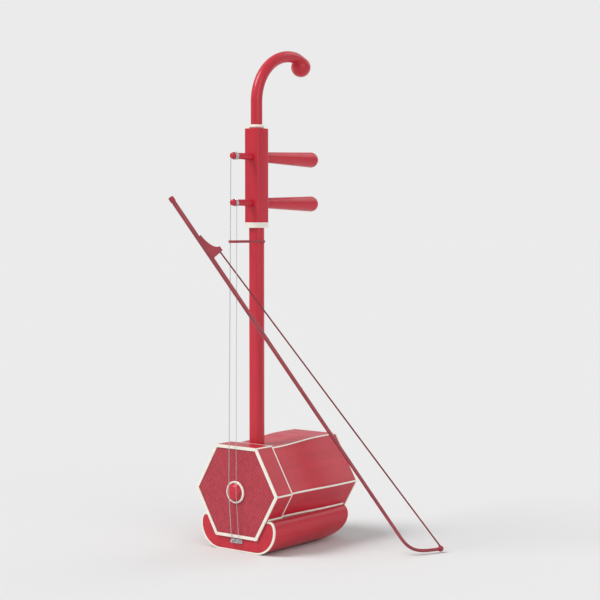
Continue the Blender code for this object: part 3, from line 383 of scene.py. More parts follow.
# ---- skin
# Scaled python skin, stretched wet over the front of the box, glued down and dyed crimson. The
# scales lie in slanting rows and overlap downwards, largest in the middle of the drum.
SKIN_LIGHT, SKIN_DARK = (0.520, 0.048, 0.072, 1), (0.340, 0.020, 0.036, 1)
SKIN_SEAM = (0.215, 0.012, 0.022, 1)
SCALE_WIDTH, SCALE_HEIGHT, SCALE_RISE = 0.0062, 0.0078, 0.00022
SEAM_START, SEAM_END = 0.34, 0.50  # from a scale's middle, in shares of its pitch
SEAM_DARK_START, SEAM_DARK_END = 0.40, 0.48
SKIN_ROUND, SKIN_OUT = 600, 116  # points round the skin, and from its middle to its rim
RIM_FADE = 0.02  # the share of the way out over which the scales flatten at the rim
skin_low, skin_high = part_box("skin")
SKIN_Z = (skin_low.z + skin_high.z) / 2


def scale_height(x, z):
    """Height of the scales, 0 to 1: flat inside each rhombic cell and falling to the seams.

    A cell is where x / width + z / height and x / width - z / height keep their whole parts. If
    they run over them by a + 1/2 and b + 1/2, the way from its middle is (a^4 + b^4)^(1/4).
    """
    rows = np.stack([x / SCALE_WIDTH + z / SCALE_HEIGHT, x / SCALE_WIDTH - z / SCALE_HEIGHT])
    a, b = rows - np.floor(rows) - 0.5
    away = (a ** 4 + b ** 4) ** 0.25
    fall = np.clip((away - SEAM_START) / (SEAM_END - SEAM_START), 0, 1)
    tilt = 0.25 * (b - a)
    return np.clip((1 - fall * fall * (3 - 2 * fall)) * (0.75 + tilt), 0, 1)


def skin_look(tree, place):
    """Dyed skin: a tone for each scale, dark seams between them and a dry, waxy shine."""
    parts = node(tree, "SeparateXYZ", {0: place}).outputs
    across = maths(tree, "DIVIDE", parts["X"], SCALE_WIDTH)
    up = maths(tree, "DIVIDE", maths(tree, "SUBTRACT", parts["Z"], SKIN_Z), SCALE_HEIGHT)
    rows = maths(tree, "ADD", across, up), maths(tree, "SUBTRACT", across, up)
    shares = [maths(tree, "SUBTRACT", maths(tree, "FRACT", row), 0.5) for row in rows]
    fourths = [maths(tree, "POWER", maths(tree, "ABSOLUTE", s), 4.0) for s in shares]
    away = maths(tree, "POWER", maths(tree, "ADD", fourths[0], fourths[1]), 0.25)
    seam = spread(tree, away, SEAM_DARK_START, SEAM_DARK_END)
    cell = node(tree, "CombineXYZ", {k: maths(tree, "FLOOR", row) for k, row in enumerate(rows)})
    tone = node(tree, "TexWhiteNoise", {"Vector": cell.outputs[0]}, noise_dimensions="2D").outputs[0]
    share = maths(tree, "MULTIPLY", maths(tree, "ADD", tone, noise(tree, place, 28, 3)), 0.42)
    body = mixed(tree, share, SKIN_LIGHT, SKIN_DARK)
    wrinkles = noise(tree, place, 1700, 3)
    return {"Base Color": mixed(tree, maths(tree, "MULTIPLY", seam, 0.7), body, SKIN_SEAM),
            "Roughness": spread(tree, wrinkles, 0.3, 0.7, 0.36, 0.52),
            "Normal": raised(tree, wrinkles, 0.00003, 0.5)}


def around(steps):
    """So many angles, evenly round a circle."""
    return np.linspace(0, 2 * pi, steps, endpoint=False)


def hexagon_sheet(apothem):
    """X and Z over a hexagon: the rim's point at each angle, times an even share from 0 to 1.

    The rim lies apothem / cos(angle from the middle of its side) out from the centre.
    """
    angle = around(SKIN_ROUND)
    rim = apothem / np.cos(angle % radians(60) - radians(30))
    out = np.linspace(0, 1, SKIN_OUT)[:, None] * rim
    return out * np.cos(angle), out * np.sin(angle)


x, z = hexagon_sheet((skin_high.z - skin_low.z) / 2)
rim_fade = np.clip(np.linspace(1, 0, SKIN_OUT)[:, None] / RIM_FADE, 0, 1)
front = skin_low.y + SCALE_RISE - scale_height(x, z) * SCALE_RISE * rim_fade
front[0] = front[0].mean()
sheet = np.stack([x, front, SKIN_Z + z], -1)
rim_back = sheet[-1:].copy()
rim_back[..., 1] = skin_high.y
dyed_skin = finish("dyed_skin", skin_look, Coat_Weight=0.12, Coat_Roughness=0.3, IOR=1.45)
shell("skin_scales", np.concatenate([sheet, rim_back]), dyed_skin, "skin", sharp=60)

# ---- sound window
# A thin hardwood board pierced with a honeycomb of six-lobed blossoms, let into the back end of the
# box. The piercings are sawn, filed and softened at their edges before the board is lacquered.
eased_copy("sound_window_lattice", lacquer("lacquer_of_window", ALONG_Z, rub=0.8),
           "sound_window", 0.0006, 3)

# ---- base
# A cradle of solid hardwood, hollowed on top to the shape of the box and rounded off below and at
# the stern. Bone edging is let into its front edge, and beads of bone fill the seams with the box.
BASE_ROUND, WING_ROUND, WING_HEIGHT = 0.040, 0.010, 0.056
STERN_ROUND = np.array([0.055, 0.043])  # length and height of the rise at the back end
EDGING = 0.0030


def section_rounds(inset=0.0):
    """The quarters of the cradle's end view: one low on each side, one on top of each wing."""
    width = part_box("base")[1].x
    low = np.array([BASE_ROUND, BASE_ROUND]) - inset
    top = np.array([WING_ROUND, WING_HEIGHT - BASE_ROUND]) - inset
    return [([0, 2], np.array([side * (width - reach), BASE_ROUND]), radii, (side, up), steps)
            for side in (-1, 1)
            for reach, radii, up, steps in ((BASE_ROUND, low, -1, 9), (WING_ROUND, top, 1, 6))]


stern_centre = np.array([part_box("base")[1].y, 0]) + STERN_ROUND * (-1, 1)
stern = ([1, 2], stern_centre, STERN_ROUND, (1, -1), 9)
eased_copy("base_cradle", lacquer("lacquer_of_base", ALONG_Y, rub=0.6),
           "base", 0.0005, quarters=section_rounds() + [stern])
eased_copy("base_edging_bone", bone, "base_edging", 0.0003,
           quarters=section_rounds() + section_rounds(EDGING))
for label in ("cradle_bead_left", "cradle_bead_right"):
    eased_copy(label + "_bone", bone, label, 0.0003)

# ---- screws under the base
# Two brass wood screws hold the base to the bottom stave. Their slotted heads sit in counterbores
# in the underside.
BRASS_BRIGHT, BRASS_DULL = (0.80, 0.58, 0.25, 1), (0.42, 0.27, 0.11, 1)
HEAD_HEIGHT, SCREW_RADIUS, POINT = 0.003, 0.0020, 0.0010
SLOT_HALF, SLOT_DEPTH, SLOT_WALL = 0.0005, 0.0010, 0.00015
FACE_RINGS = 40
SCREW_FACE = {"base_screw_rear": 0.0047}  # driven up to the end of its bore, as the stern rises there


def brass_look(tree, place):
    """Handled brass: cloudy tarnish over fine turning marks."""
    dull = spread(tree, noise(tree, place, 260, 5, 0.6), 0.42, 0.70)
    tarnish = maths(tree, "MULTIPLY", dull, 0.7)
    return {"Base Color": mixed(tree, tarnish, BRASS_BRIGHT, BRASS_DULL),
            "Roughness": spread(tree, dull, 0.0, 1.0, 0.18, 0.42),
            "Normal": raised(tree, noise(tree, place, 3800, 2), 0.000012, 0.5)}


def eased(profile, ease, steps=4):
    """The profile with each corner P cut to a small round.

    The round is the curve (1 - t)^2 A + 2 t (1 - t) P + t^2 B from a point A before the corner to
    a point B after it, each `ease` away or at most 0.45 of the way to the next corner.
    """
    profile = np.asarray(profile, float)
    corner = profile[1:-1]
    legs = [profile[:-2] - corner, profile[2:] - corner]
    sizes = [np.linalg.norm(leg, axis=1, keepdims=True) for leg in legs]
    first, last = [corner + leg / size * np.minimum(ease, 0.45 * size)
                   for leg, size in zip(legs, sizes)]
    t = np.linspace(0, 1, steps)[:, None, None]
    rounds = (1 - t) ** 2 * first + 2 * t * (1 - t) * corner + t * t * last
    return np.vstack([profile[:1], rounds.transpose(1, 0, 2).reshape(-1, 2), profile[-1:]])


def unit(vectors):
    """The vectors over their lengths."""
    return vectors / np.linalg.norm(vectors, axis=-1, keepdims=True)


def rings_on(path, radius, steps, side, other, run):
    """Rings of points path + radius (cos a side + sin a other), and the same piece straightened.

    A point of the straightened piece is radius cos a, radius sin a and the run along it.
    """
    angle = around(steps)
    radius = np.broadcast_to(radius, path.shape[:-1] + (steps,))
    x, y = radius * np.cos(angle), radius * np.sin(angle)
    rings = path[..., None, :] + x[..., None] * side[..., None, :] + y[..., None] * other[..., None, :]
    return rings, np.stack([x, y, np.broadcast_to(run[..., None], x.shape)], -1)


def turned(profile, foot, axis, steps=48):
    """Rings of a profile of (radius, height) points turned round an axis through its foot."""
    profile = np.asarray(profile, float)
    axis = unit(np.asarray(axis, float))
    side = unit(np.cross(axis, (0, 0, 1) if abs(axis[2]) < 0.9 else (1, 0, 0)))
    radius, height = profile.T
    path = np.asarray(foot) + height[:, None] * axis
    return rings_on(path, radius[:, None], steps, side, np.cross(axis, side), height)


def arc(angle, across, along=None, centre=(0, 0)):
    """Points centre + (across cos a, along sin a), on a circle unless along is given."""
    along = across if along is None else along
    return np.stack([centre[0] + across * np.cos(angle), centre[1] + along * np.sin(angle)], -1)


brass = finish("brass", brass_look, Metallic=1.0)
for label in ("base_screw_front", "base_screw_rear"):
    low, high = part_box(label)
    low.z = SCREW_FACE.get(label, low.z)
    centre, head, length = (low + high) / 2, (high.x - low.x) / 2, high.z - low.z
    profile = eased([(0, 0), (head, 0), (head, HEAD_HEIGHT), (SCREW_RADIUS, HEAD_HEIGHT),
                     (SCREW_RADIUS, length - 2 * POINT), (POINT, length - POINT), (0, length)],
                    0.0003)
    face = np.column_stack([np.linspace(0, 0.9 * head, FACE_RINGS), np.zeros(FACE_RINGS)])
    rings, _ = turned(np.vstack([face, profile[1:]]), (centre.x, centre.y, low.z), (0, 0, 1))
    inside = SLOT_HALF - np.abs(rings[:FACE_RINGS, :, 0] - centre.x)
    rings[:FACE_RINGS, :, 2] += SLOT_DEPTH * np.clip(inside / SLOT_WALL + 0.5, 0, 1)
    shell(label + "_brass", rings, brass, label)

# ---- string hook
# A small steel plate pinned to the front of the base just under the box, with two headed posts
# riveted into it that take the strings' loops.
STEEL_BRIGHT, STEEL_DULL = (0.62, 0.62, 0.64, 1), (0.46, 0.455, 0.46, 1)
WOUND_PITCH = 0.00032  # of the fine wire that covers the inner string
PLATE_THICKNESS, POST_RADIUS, POST_LENGTH = 0.0012, 0.0014, 0.0070
POST_HEAD, POST_HEAD_HEIGHT, IN_PLATE = 0.0024, 0.0012, 0.0004
PIN_RADIUS, PIN_RISE = 0.0011, 0.0006
POST_PLACE, PIN_PLACE = 0.0054, 0.0093  # from the middle to their axes


def steel_look(tree, place):
    """Bright steel wire, slightly dulled in spots."""
    dull = spread(tree, noise(tree, place, 700, 3), 0.4, 0.7)
    return {"Base Color": mixed(tree, dull, STEEL_BRIGHT, STEEL_DULL)}


def wound_look(tree, place):
    """Steel wire covered with fine flat wire, whose turns show as ridges."""
    run = node(tree, "SeparateXYZ", {0: place}).outputs["Z"]
    turn = maths(tree, "FRACT", maths(tree, "DIVIDE", run, WOUND_PITCH))
    ridge = maths(tree, "SINE", maths(tree, "MULTIPLY", turn, pi))
    return steel_look(tree, place) | {"Normal": raised(tree, ridge, 0.00006)}


hook_steel = finish("hook_steel", steel_look, True, Metallic=1.0, Roughness=0.28)
hook_low, hook_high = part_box("string_hook")
face_y, hook_z = hook_high.y - PLATE_THICKNESS, (hook_low.z + hook_high.z) / 2
oblong = arc(around(64), 1)
oblong = np.sign(oblong) * np.abs(oblong) ** 0.25  # a circle swelled to a round-cornered square
half = np.array([hook_high.x, (hook_high.z - hook_low.z) / 2])
rings = np.stack([np.insert((0, hook_z) + oblong * (half - inset), 1, y, axis=1) for inset, y in
                  ((0, hook_high.y), (0, face_y + 0.0004), (0.0001, face_y + 0.0001),
                   (0.0004, face_y))])
shell("string_hook_plate", rings, hook_steel, "string_hook", rings[..., [0, 2, 1]])
post = eased([(0, POST_LENGTH), (POST_HEAD, POST_LENGTH),
              (POST_HEAD, POST_LENGTH - POST_HEAD_HEIGHT),
              (POST_RADIUS, POST_LENGTH - POST_HEAD_HEIGHT), (POST_RADIUS, -IN_PLATE),
              (0, -IN_PLATE)], 0.0005)
pin = np.vstack([arc(np.linspace(pi / 2, 0, 7), PIN_RADIUS, PIN_RISE),
                 [(PIN_RADIUS, -0.0002), (0, -0.0002)]])
for label, profile, places in (("posts", post, POST_PLACE), ("pins", pin, PIN_PLACE)):
    pair = [turned(profile, (x, face_y, hook_z), (0, -1, 0), 32) for x in (-places, places)]
    shell("string_hook_" + label, [rings for rings, _ in pair], hook_steel,
          None, [straight for _, straight in pair])

# ---- neck
# One straight hardwood rod, planed flat on the side under the strings and round behind. It runs
# down through the top and bottom staves and is wedged into a blind socket in the base.
GAP = 0.0003  # clearance between pieces that seat on each other
NECK_RADIUS, NECK_FLAT, NECK_TOP, NECK_EASE = 0.01225, 0.0095, 0.520, 0.0003
NECK_RINGS = np.linspace(0.05, 0.51, 24)  # heights between its ends
EDGE_POWER = 40.0  # the higher, the sharper the edges between flat and round
neck_low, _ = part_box("neck")
angle = around(72)
to_flat = NECK_FLAT / np.maximum(-np.sin(angle), 0.001)
section = (NECK_RADIUS ** -EDGE_POWER + to_flat ** -EDGE_POWER) ** (-1 / EDGE_POWER)
heights = np.concatenate([[neck_low.z, neck_low.z + NECK_EASE], NECK_RINGS,
                          [NECK_TOP - NECK_EASE, NECK_TOP]])[:, None]
inset = np.zeros_like(heights)
inset[[0, -1]] = NECK_EASE
outline = arc(angle, section - inset)
rings = np.dstack([outline, np.broadcast_to(heights, outline.shape[:2])])
shell("neck_rod", rings, lacquer("lacquer_along_neck", ALONG_Z), "neck")

# ---- peg box and collars
# A square hardwood block with round corners, bored for the two pegs. A flat bone collar parts it
# from the neck and a rounded bone ring from the scroll. Tenons of the rod and scroll run into it.
eased_copy("peg_box_wood", lacquer("lacquer_of_peg_box", ALONG_Z, rub=0.7),
           "peg_box", 0.0006)
eased_copy("lower_collar_bone", bone, "lower_collar", 0.0006, 3)
low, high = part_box("upper_collar")
rim, edge = (high.x - low.x) / 2, (high.z - low.z) / 2
bulge = arc(np.linspace(-pi / 2, pi / 2, 17), edge, centre=(rim - edge, edge))
profile = np.vstack([[0, 0], bulge, [0, 2 * edge]])
shell("upper_collar_ring", turned(profile, (0, 0, low.z), (0, 0, 1))[0], bone,
      "upper_collar", sharp=60)

# ---- scroll
# The head: a round stem that bends back in one long curl and ends in a ball. It is carved from one
# piece of hardwood, rasped round, sanded and lacquered, with a soft hollow where the ball begins.
STEM_RADIUS, STEM_END_RADIUS = 0.00936, 0.00916
STEM_STRAIGHT, CROWN_REACH, CROWN_RISE = 0.036, 0.090, 0.080
STEM_PULL, CROWN_PULL, FALL_PULL, BALL_PULL = 0.045, 0.048, 0.014, np.array([0.0060, -0.0075])
BALL_REACH, BALL_DROP, BALL_RADIUS, BALL_PROUD = 0.116, 0.015, 0.01615, 0.0006
NOTCH_RADIUS = 0.0012  # of the round between the stem's inner side and the ball
BALL_BLEND = 0.0024  # over which stem and ball run into each other
SINKING = radians(45)  # of the fan's turn, over which the stem's end sinks into the ball
FAN_RUN = 0.012  # length walked for each radian of the fan's turn
STEM_RINGS, STEM_ROUND = 10, 44


def curve_through(a, b, c, d, steps):
    """A cubic curve: (1-t)^3 A + 3t (1-t)^2 B + 3t^2 (1-t) C + t^3 D, for t evenly from 0 to 1."""
    t = np.linspace(0, 1, steps)[:, None]
    return (1 - t) ** 3 * a + 3 * t * (1 - t) ** 2 * b + 3 * t ** 2 * (1 - t) * c + t ** 3 * d


def walked(path):
    """The length walked along a path up to each of its points."""
    run = np.cumsum(np.linalg.norm(np.diff(path, axis=-2), axis=-1), axis=-1)
    return np.concatenate([np.zeros(run.shape[:-1] + (1,)), run], -1)


def tube(path, radius, steps, across):
    """Rings round a path, whose side is the unit of tangent x across, and other side x tangent."""
    tangent = unit(np.gradient(path, axis=-2))
    side = unit(np.cross(tangent, across))
    return rings_on(path, radius, steps, side, np.cross(side, tangent), walked(path))


def soft_max(first, second, blend):
    """The greater of two lengths, with their crossing rounded off over a length of `blend`.

    With w = 1/2 + (second - first) / (2 blend), held from 0 to 1, it is
    first (1 - w) + second w + blend w (1 - w).
    """
    share = np.clip(0.5 + (second - first) / (2 * blend), 0, 1)
    return first * (1 - share) + second * share + blend * share * (1 - share)


def ball_rings(pivot, out, ahead, outer_side, run, steps):
    """Rings in planes that fan round a pivot in the notch, so stem and ball are one smooth skin.

    A plane at angle p holds u = out cos p + ahead sin p. Along u the sphere is cut from m - h to
    m + h, with m = (centre - pivot) . u and h^2 = radius^2 - |centre - pivot|^2 + m^2. Each ring is
    an ellipse from the notch's round, or m - h once past the centre, to the softened greater of
    m + h and the stem's outer side, which sinks into the ball along a slightly smaller sphere.
    """
    to_ball = ball - pivot
    distance = np.linalg.norm(to_ball)
    centre_at = np.arctan2(to_ball @ ahead, to_ball @ out)
    p = np.linspace(0, 1, 96) * (centre_at + np.arcsin(BALL_RADIUS / distance))
    u = np.cos(p)[:, None] * out + np.sin(p)[:, None] * ahead
    m = u @ to_ball
    h, sunk = [np.sqrt(np.maximum(size ** 2 - distance ** 2 + m * m, 0))
               for size in (BALL_RADIUS, BALL_RADIUS - BALL_PROUD)]
    side = outer_side - pivot
    side_at, side_far = np.arctan2(side @ ahead, side @ out), np.linalg.norm(side, axis=1)
    gone = np.clip((p - side_at[-1]) / SINKING, 0, 1)
    gone = gone * gone * (3 - 2 * gone)
    stem = np.where(p < side_at[-1], np.interp(p, side_at, side_far), m + sunk)
    far = soft_max(stem - BALL_BLEND * gone, m + h, BALL_BLEND)
    wide = soft_max(STEM_END_RADIUS - (STEM_END_RADIUS + BALL_BLEND) * gone, h, BALL_BLEND)
    reached = np.minimum(p / centre_at, 1)
    round_off = NOTCH_RADIUS + (distance - BALL_RADIUS - NOTCH_RADIUS) * reached
    near = np.where(p < centre_at, round_off, m - h)
    angle = around(steps)
    middle, half = (near + far) / 2, (far - near) / 2
    reach = middle[:, None] - half[:, None] * np.cos(angle)
    across = wide[:, None] * np.sin(angle)
    place = pivot + reach[..., None] * u[:, None, :]
    straight = np.stack([half[:, None] * np.cos(angle), across,
                         np.broadcast_to((run + FAN_RUN * p)[:, None], across.shape)], -1)
    return np.concatenate([across[..., None], place], -1), straight


stem_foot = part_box("upper_collar")[1].z + GAP
bend = np.array([0, stem_foot + STEM_STRAIGHT])
crown = bend + (CROWN_REACH, CROWN_RISE)
ball = np.array([BALL_REACH, crown[1] - BALL_DROP])
ahead = unit(BALL_PULL)
end = ball + (BALL_RADIUS - BALL_PROUD - STEM_END_RADIUS) * np.array([-ahead[1], ahead[0]])
rise = curve_through(bend, bend + (0, STEM_PULL), crown - (CROWN_PULL, 0), crown, 72)
fall = curve_through(crown, crown + (FALL_PULL, 0), end - BALL_PULL, end, 90)
stem = np.linspace((0, stem_foot), bend, STEM_RINGS + 1)[:-1]
line = np.vstack([stem, rise, fall[1:]])
taper = np.linspace(0, 1, len(line))[:, None]
taper[:STEM_RINGS] = 0
radius = STEM_RADIUS + (STEM_END_RADIUS - STEM_RADIUS) * taper
radius[0] -= 0.0004
tangent = unit(np.gradient(line, axis=0))
outward = np.stack([-tangent[:, 1], tangent[:, 0]], -1)
pivots = line - outward * (radius + NOTCH_RADIUS)
nearness = np.linalg.norm(pivots - ball, axis=1) - BALL_RADIUS - NOTCH_RADIUS
last = int(np.flatnonzero(nearness < 0)[0])  # the ring where the stem's inner side meets the ball
rings, straight = tube(np.insert(line[:last + 1], 0, 0, axis=1), radius[:last + 1], STEM_ROUND,
                       (1, 0, 0))
knob, knob_straight = ball_rings(pivots[last], outward[last], tangent[last],
                                 (line + outward * radius)[last:], straight[-1, 0, 2], STEM_ROUND)
scroll_lacquer = lacquer("lacquer_of_scroll", ALONG_Z, straightened=True)
shell("scroll_carved", np.vstack([rings, knob[1:]]), scroll_lacquer,
      "head_scroll", np.vstack([straight, knob_straight[1:]]), sharp=70)

# ---- pegs
# Two long hardwood pegs, turned on the lathe: a round-ended handle swelling from a narrow waist, a
# bead against the peg box, and a tapered shaft that grips in its holes and carries a string's end.
PEG_END, PEG_GRIP, PEG_WAIST, PEG_BEAD = 0.0128, 0.0088, 0.0080, 0.0096
PEG_SHAFT, PEG_TIP, PEG_TIP_ROUND = 0.0060, 0.0048, 0.0016
GRIP_AT, WAIST_AT, NECK_AT = 0.0155, 0.0068, 0.0051  # above the peg box
BEAD_ROUND, CAP_PAST = 0.0025, radians(8)  # the end's round runs on past its widest place
STRING_REACH = 0.057  # from the neck's axis to the inner string
box_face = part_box("peg_box")[1].y
peg_lacquer = lacquer("lacquer_of_pegs", ALONG_Y, rub=0.9)


def shaft_radius(y):
    """The shaft's even taper from the back of the peg box down to the string."""
    return PEG_SHAFT + (PEG_TIP - PEG_SHAFT) * (box_face - y) / (box_face + STRING_REACH)


for label in ("upper_peg", "lower_peg"):
    low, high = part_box(label)
    foot, end = box_face + GAP, high.y - PEG_END
    profile = np.vstack([
        arc(np.linspace(pi / 2, -CAP_PAST, 22), PEG_END, centre=(0, end)),
        eased([(PEG_END * cos(CAP_PAST), end - PEG_END * sin(CAP_PAST)),
               (PEG_GRIP, foot + GRIP_AT), (PEG_WAIST, foot + WAIST_AT),
               (PEG_WAIST + 0.0004, foot + NECK_AT)], 0.006, 9)[1:],
        arc(np.linspace(pi / 2, -pi / 2, 9), BEAD_ROUND,
            centre=(PEG_BEAD - BEAD_ROUND, foot + BEAD_ROUND)),
        [(shaft_radius(foot), foot), (shaft_radius(low.y + PEG_TIP_ROUND), low.y + PEG_TIP_ROUND)],
        [(PEG_TIP * 0.88, low.y + 0.0005), (PEG_TIP * 0.60, low.y), (0, low.y)]])
    shell(label + "_turned", turned(profile, (0, 0, (low.z + high.z) / 2), (0, 1, 0))[0],
          peg_lacquer, label, body=label, sharp=50)

# ---- strings
# Steel strings in two gauges: the thick inner one is wound with fine flat wire, the outer one is
# plain. Each makes five turns on its peg, crosses the bridge and loops round a post of the hook.
INNER_RADIUS, OUTER_RADIUS = 0.0006, 0.00045
TURNS, TURN_GAP = 5, 0.00025
BRIDGE_SPREAD = 0.0076
LOOP_TURN = radians(285)
LOOP_Y = face_y - 0.0036  # on the posts, behind their heads


def string_paths(side, gauge, peg, reach):
    """One string's length, tail and winding; side is -1 on the left, reach is how far out it is.

    The tail runs from the bridge to the hook and on round the post, in 285 degrees of a circle.
    The winding is a helix of radius coil: angle 2 pi b, advance pitch b, for b from 5 to 0.
    """
    peg_z, bridge_z = [(low.z + high.z) / 2 for low, high in (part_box(peg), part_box("bridge"))]
    coil = PEG_TIP + GAP + gauge
    top = np.array([side * coil, -reach, peg_z - 2 * (coil * gauge) ** 0.5 - 2 * GAP])
    bridge = np.array([side * BRIDGE_SPREAD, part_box("bridge")[0].y, bridge_z])
    post_turn = POST_RADIUS + GAP + gauge
    loop = np.insert(arc(np.linspace(0, LOOP_TURN, 40), side * post_turn, -post_turn,
                         (side * (BRIDGE_SPREAD - post_turn), hook_z)), 1, LOOP_Y, axis=1)
    back = np.linspace(TURNS, 0, 32 * TURNS + 1)
    helix = np.insert(arc(2 * pi * back, side * coil, coil, (0, peg_z)), 1,
                      (2 * gauge + TURN_GAP) * back - reach, axis=1)
    return {"": np.linspace(top, bridge, 60),
            "_tail": np.vstack([np.linspace(bridge, loop[0], 12)[:-1], loop]),
            "_winding": np.vstack([helix, top + (0, 0, GAP)])}


for label, look, side, gauge, peg, reach in (
        ("inner_string", wound_look, -1, INNER_RADIUS, "upper_peg", STRING_REACH),
        ("outer_string", steel_look, 1, OUTER_RADIUS, "lower_peg", STRING_REACH - 0.001)):
    steel = finish(label + "_steel", look, True, Metallic=1.0, Roughness=0.28)
    for ending, path in string_paths(side, gauge, peg, reach).items():
        rings, straight = tube(path, gauge * 0.995, 12, (0, 1, 0.001))
        shell(label + ending + "_wire", rings, steel, label + ending, straight,
              body=peg if ending == "_winding" else "instrument")

# ---- bridge and its ring
# A round-shouldered hardwood bridge with a tunnel under it and a groove for each string. It stands
# on the skin inside a turned ring of bone, and only the strings hold it down.
RING_WIDTH, RING_CHAMFER = 0.003, 0.001
eased_copy("bridge_wood", lacquer("lacquer_of_bridge", ALONG_X), "bridge",
           0.0003)
low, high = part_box("bridge_ring")
outer, tall = (high.x - low.x) / 2, high.y - low.y
inner = outer - RING_WIDTH
profile = eased([(inner, 0), (inner, tall), (outer - RING_CHAMFER, tall),
                 (outer, tall - RING_CHAMFER), (outer, 0), (inner, 0)], 0.0006, 5)
rings, _ = turned(profile, ((low.x + high.x) / 2, high.y, (low.z + high.z) / 2), (0, -1, 0), 64)
shell("bridge_ring_bone", rings[:-1], bone, "bridge_ring", looped=True)

# ---- qianjin
# The string tie: five turns of twisted crimson silk round the neck and both strings. It is slid up
# or down the neck to set the strings' sounding length.
# Lit and shaded tones of the one crimson silk: painted highlight on the strands' backs, painted shade
# between them.
SILK_LIT_CREST, SILK_SHADED_GROOVE = (0.50, 0.040, 0.062, 1), (0.21, 0.012, 0.022, 1)
THREAD_RADIUS, THREAD_ROOM, THREAD_TURNS, TWIST_PITCH = 0.00058, 0.0006, 5, 0.0022
FAR_BEND = 0.0081  # round the strings, at the middle of the thread


def silk_look(tree, place):
    """Twisted silk: slanting strands with fuzz, painted highlight on their backs, painted shade
    between.
    """
    parts = node(tree, "SeparateXYZ", {0: place}).outputs
    angle = maths(tree, "ARCTAN2", parts["Y"], parts["X"])
    twist = maths(tree, "ADD", maths(tree, "MULTIPLY", angle, 2.0),
                  maths(tree, "MULTIPLY", parts["Z"], 2 * pi / TWIST_PITCH))
    strand = spread(tree, maths(tree, "SINE", twist), -1.0, 0.4)
    fuzz = spread(tree, noise(tree, place_on(tree), 2400, 3), 0.3, 0.6, 0.6, 1.0)
    # The strands' crests and grooves set the colour: painted highlight on their backs and painted
    # shade between them, broken by fuzz.
    share = maths(tree, "MULTIPLY", strand, fuzz)
    return {"Base Color": mixed(tree, share, SILK_SHADED_GROOVE, SILK_LIT_CREST),
            "Normal": raised(tree, strand, 0.00022, 0.8)}


tie_low, tie_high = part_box("qianjin")
neck_bend = NECK_RADIUS + GAP + THREAD_ROOM
far_y = tie_low.y + FAR_BEND + THREAD_ROOM
lean = np.arcsin((neck_bend - FAR_BEND) / abs(far_y))
once = np.vstack([arc(np.linspace(-lean, pi + lean, 24), neck_bend),
                  arc(np.linspace(pi + lean, 2 * pi - lean, 20), FAR_BEND, centre=(0, far_y))])
once = np.vstack([once, once[:1]])
run = walked(once)
even = np.linspace(0, run[-1], 150)[:-1]
belt = np.stack([np.interp(even, run, part) for part in once.T], -1)
path = np.tile(belt, (THREAD_TURNS, 1))
height = np.linspace(tie_low.z + THREAD_ROOM, tie_high.z - THREAD_ROOM, len(path))
rings, straight = tube(np.column_stack([path, height]), THREAD_RADIUS, 12, (0, 0, 1))
silk = finish("silk", silk_look, True, Roughness=0.7, Sheen_Weight=0.4, Sheen_Roughness=0.4)
shell("qianjin_thread", rings, silk, "qianjin", straight, body="qianjin")

# ---- bow stick
# A thin bamboo cane, stained dark crimson, heat-bent at the tip end and tapered towards it. Low
# rings mark the joints of the cane. The screw's bore is left out, as button and frog cover it.
STICK_LIGHT, STICK_DARK = (0.40, 0.030, 0.048, 1), (0.150, 0.008, 0.016, 1)
HAIR_START, HAIR_END, HAIR_WIDTH, HAIR_THICKNESS = -0.0410, 0.5535, 0.0045, 0.001
STICK_START, STICK_HEIGHT, STICK_RISE = -0.141, 0.0207, 0.0532
STICK_STRAIGHT_END, STICK_TIP = HAIR_END - 0.0555, np.array([HAIR_END + 0.0005, 0.0062])
STICK_TIP_DIRECTION, TIP_PULL = radians(-58), 0.45
STICK_RADIUS, STICK_TIP_RADIUS = 0.0038, 0.0026
CANE_JOINTS = np.array([0.172, 0.262, 0.357, 0.457, 0.560])  # from the butt
RIDGE_RISE, RIDGE_HALF, DIP_DEPTH, DIP_HALF, DIP_AT = 0.00024, 0.0016, 0.00012, 0.0012, 0.0036
joints = {joint["name"]: joint for joint in frame["joints"]}
bow_x = -np.array(joints["bow_stroke"]["axis"])
stick_axis = np.array(joints["bow_screw_turn"]["axis"])
butt = np.array(joints["bow_screw_turn"]["pos_m"])
bow_y = unit(stick_axis - stick_axis.dot(bow_x) * bow_x)
BOW_AXES = np.array([bow_x, bow_y, np.cross(bow_x, bow_y)])
BOW_ORIGIN = butt - np.array([STICK_START, STICK_HEIGHT + STICK_RISE * STICK_START, 0]) @ BOW_AXES


def on_bow(places):
    """Places given along the hair, from hair to stick and across, moved to where the bow is."""
    return BOW_ORIGIN + np.asarray(places) @ BOW_AXES


def bamboo_look(tree, place):
    """Stained bamboo: long straight fibres in two tones under a thin satin varnish."""
    drawn_out = node(tree, "Mapping", {"Vector": place, "Scale": (1, 1, 0.012)}).outputs[0]
    fibres = spread(tree, noise(tree, drawn_out, 2200, 3), 0.38, 0.66)
    cloud = spread(tree, noise(tree, place, 40, 3), 0.3, 0.75, 0.0, 0.45)
    share = maths(tree, "MINIMUM", maths(tree, "ADD", maths(tree, "MULTIPLY", fibres, 0.6), cloud), 1)
    return {"Base Color": mixed(tree, share, STICK_LIGHT, STICK_DARK),
            "Roughness": spread(tree, fibres, 0.0, 1.0, 0.30, 0.48),
            "Normal": raised(tree, fibres, 0.00005, 0.6)}


def stick_height(x):
    """Distance from hair to stick where the stick is straight."""
    return STICK_HEIGHT + STICK_RISE * x


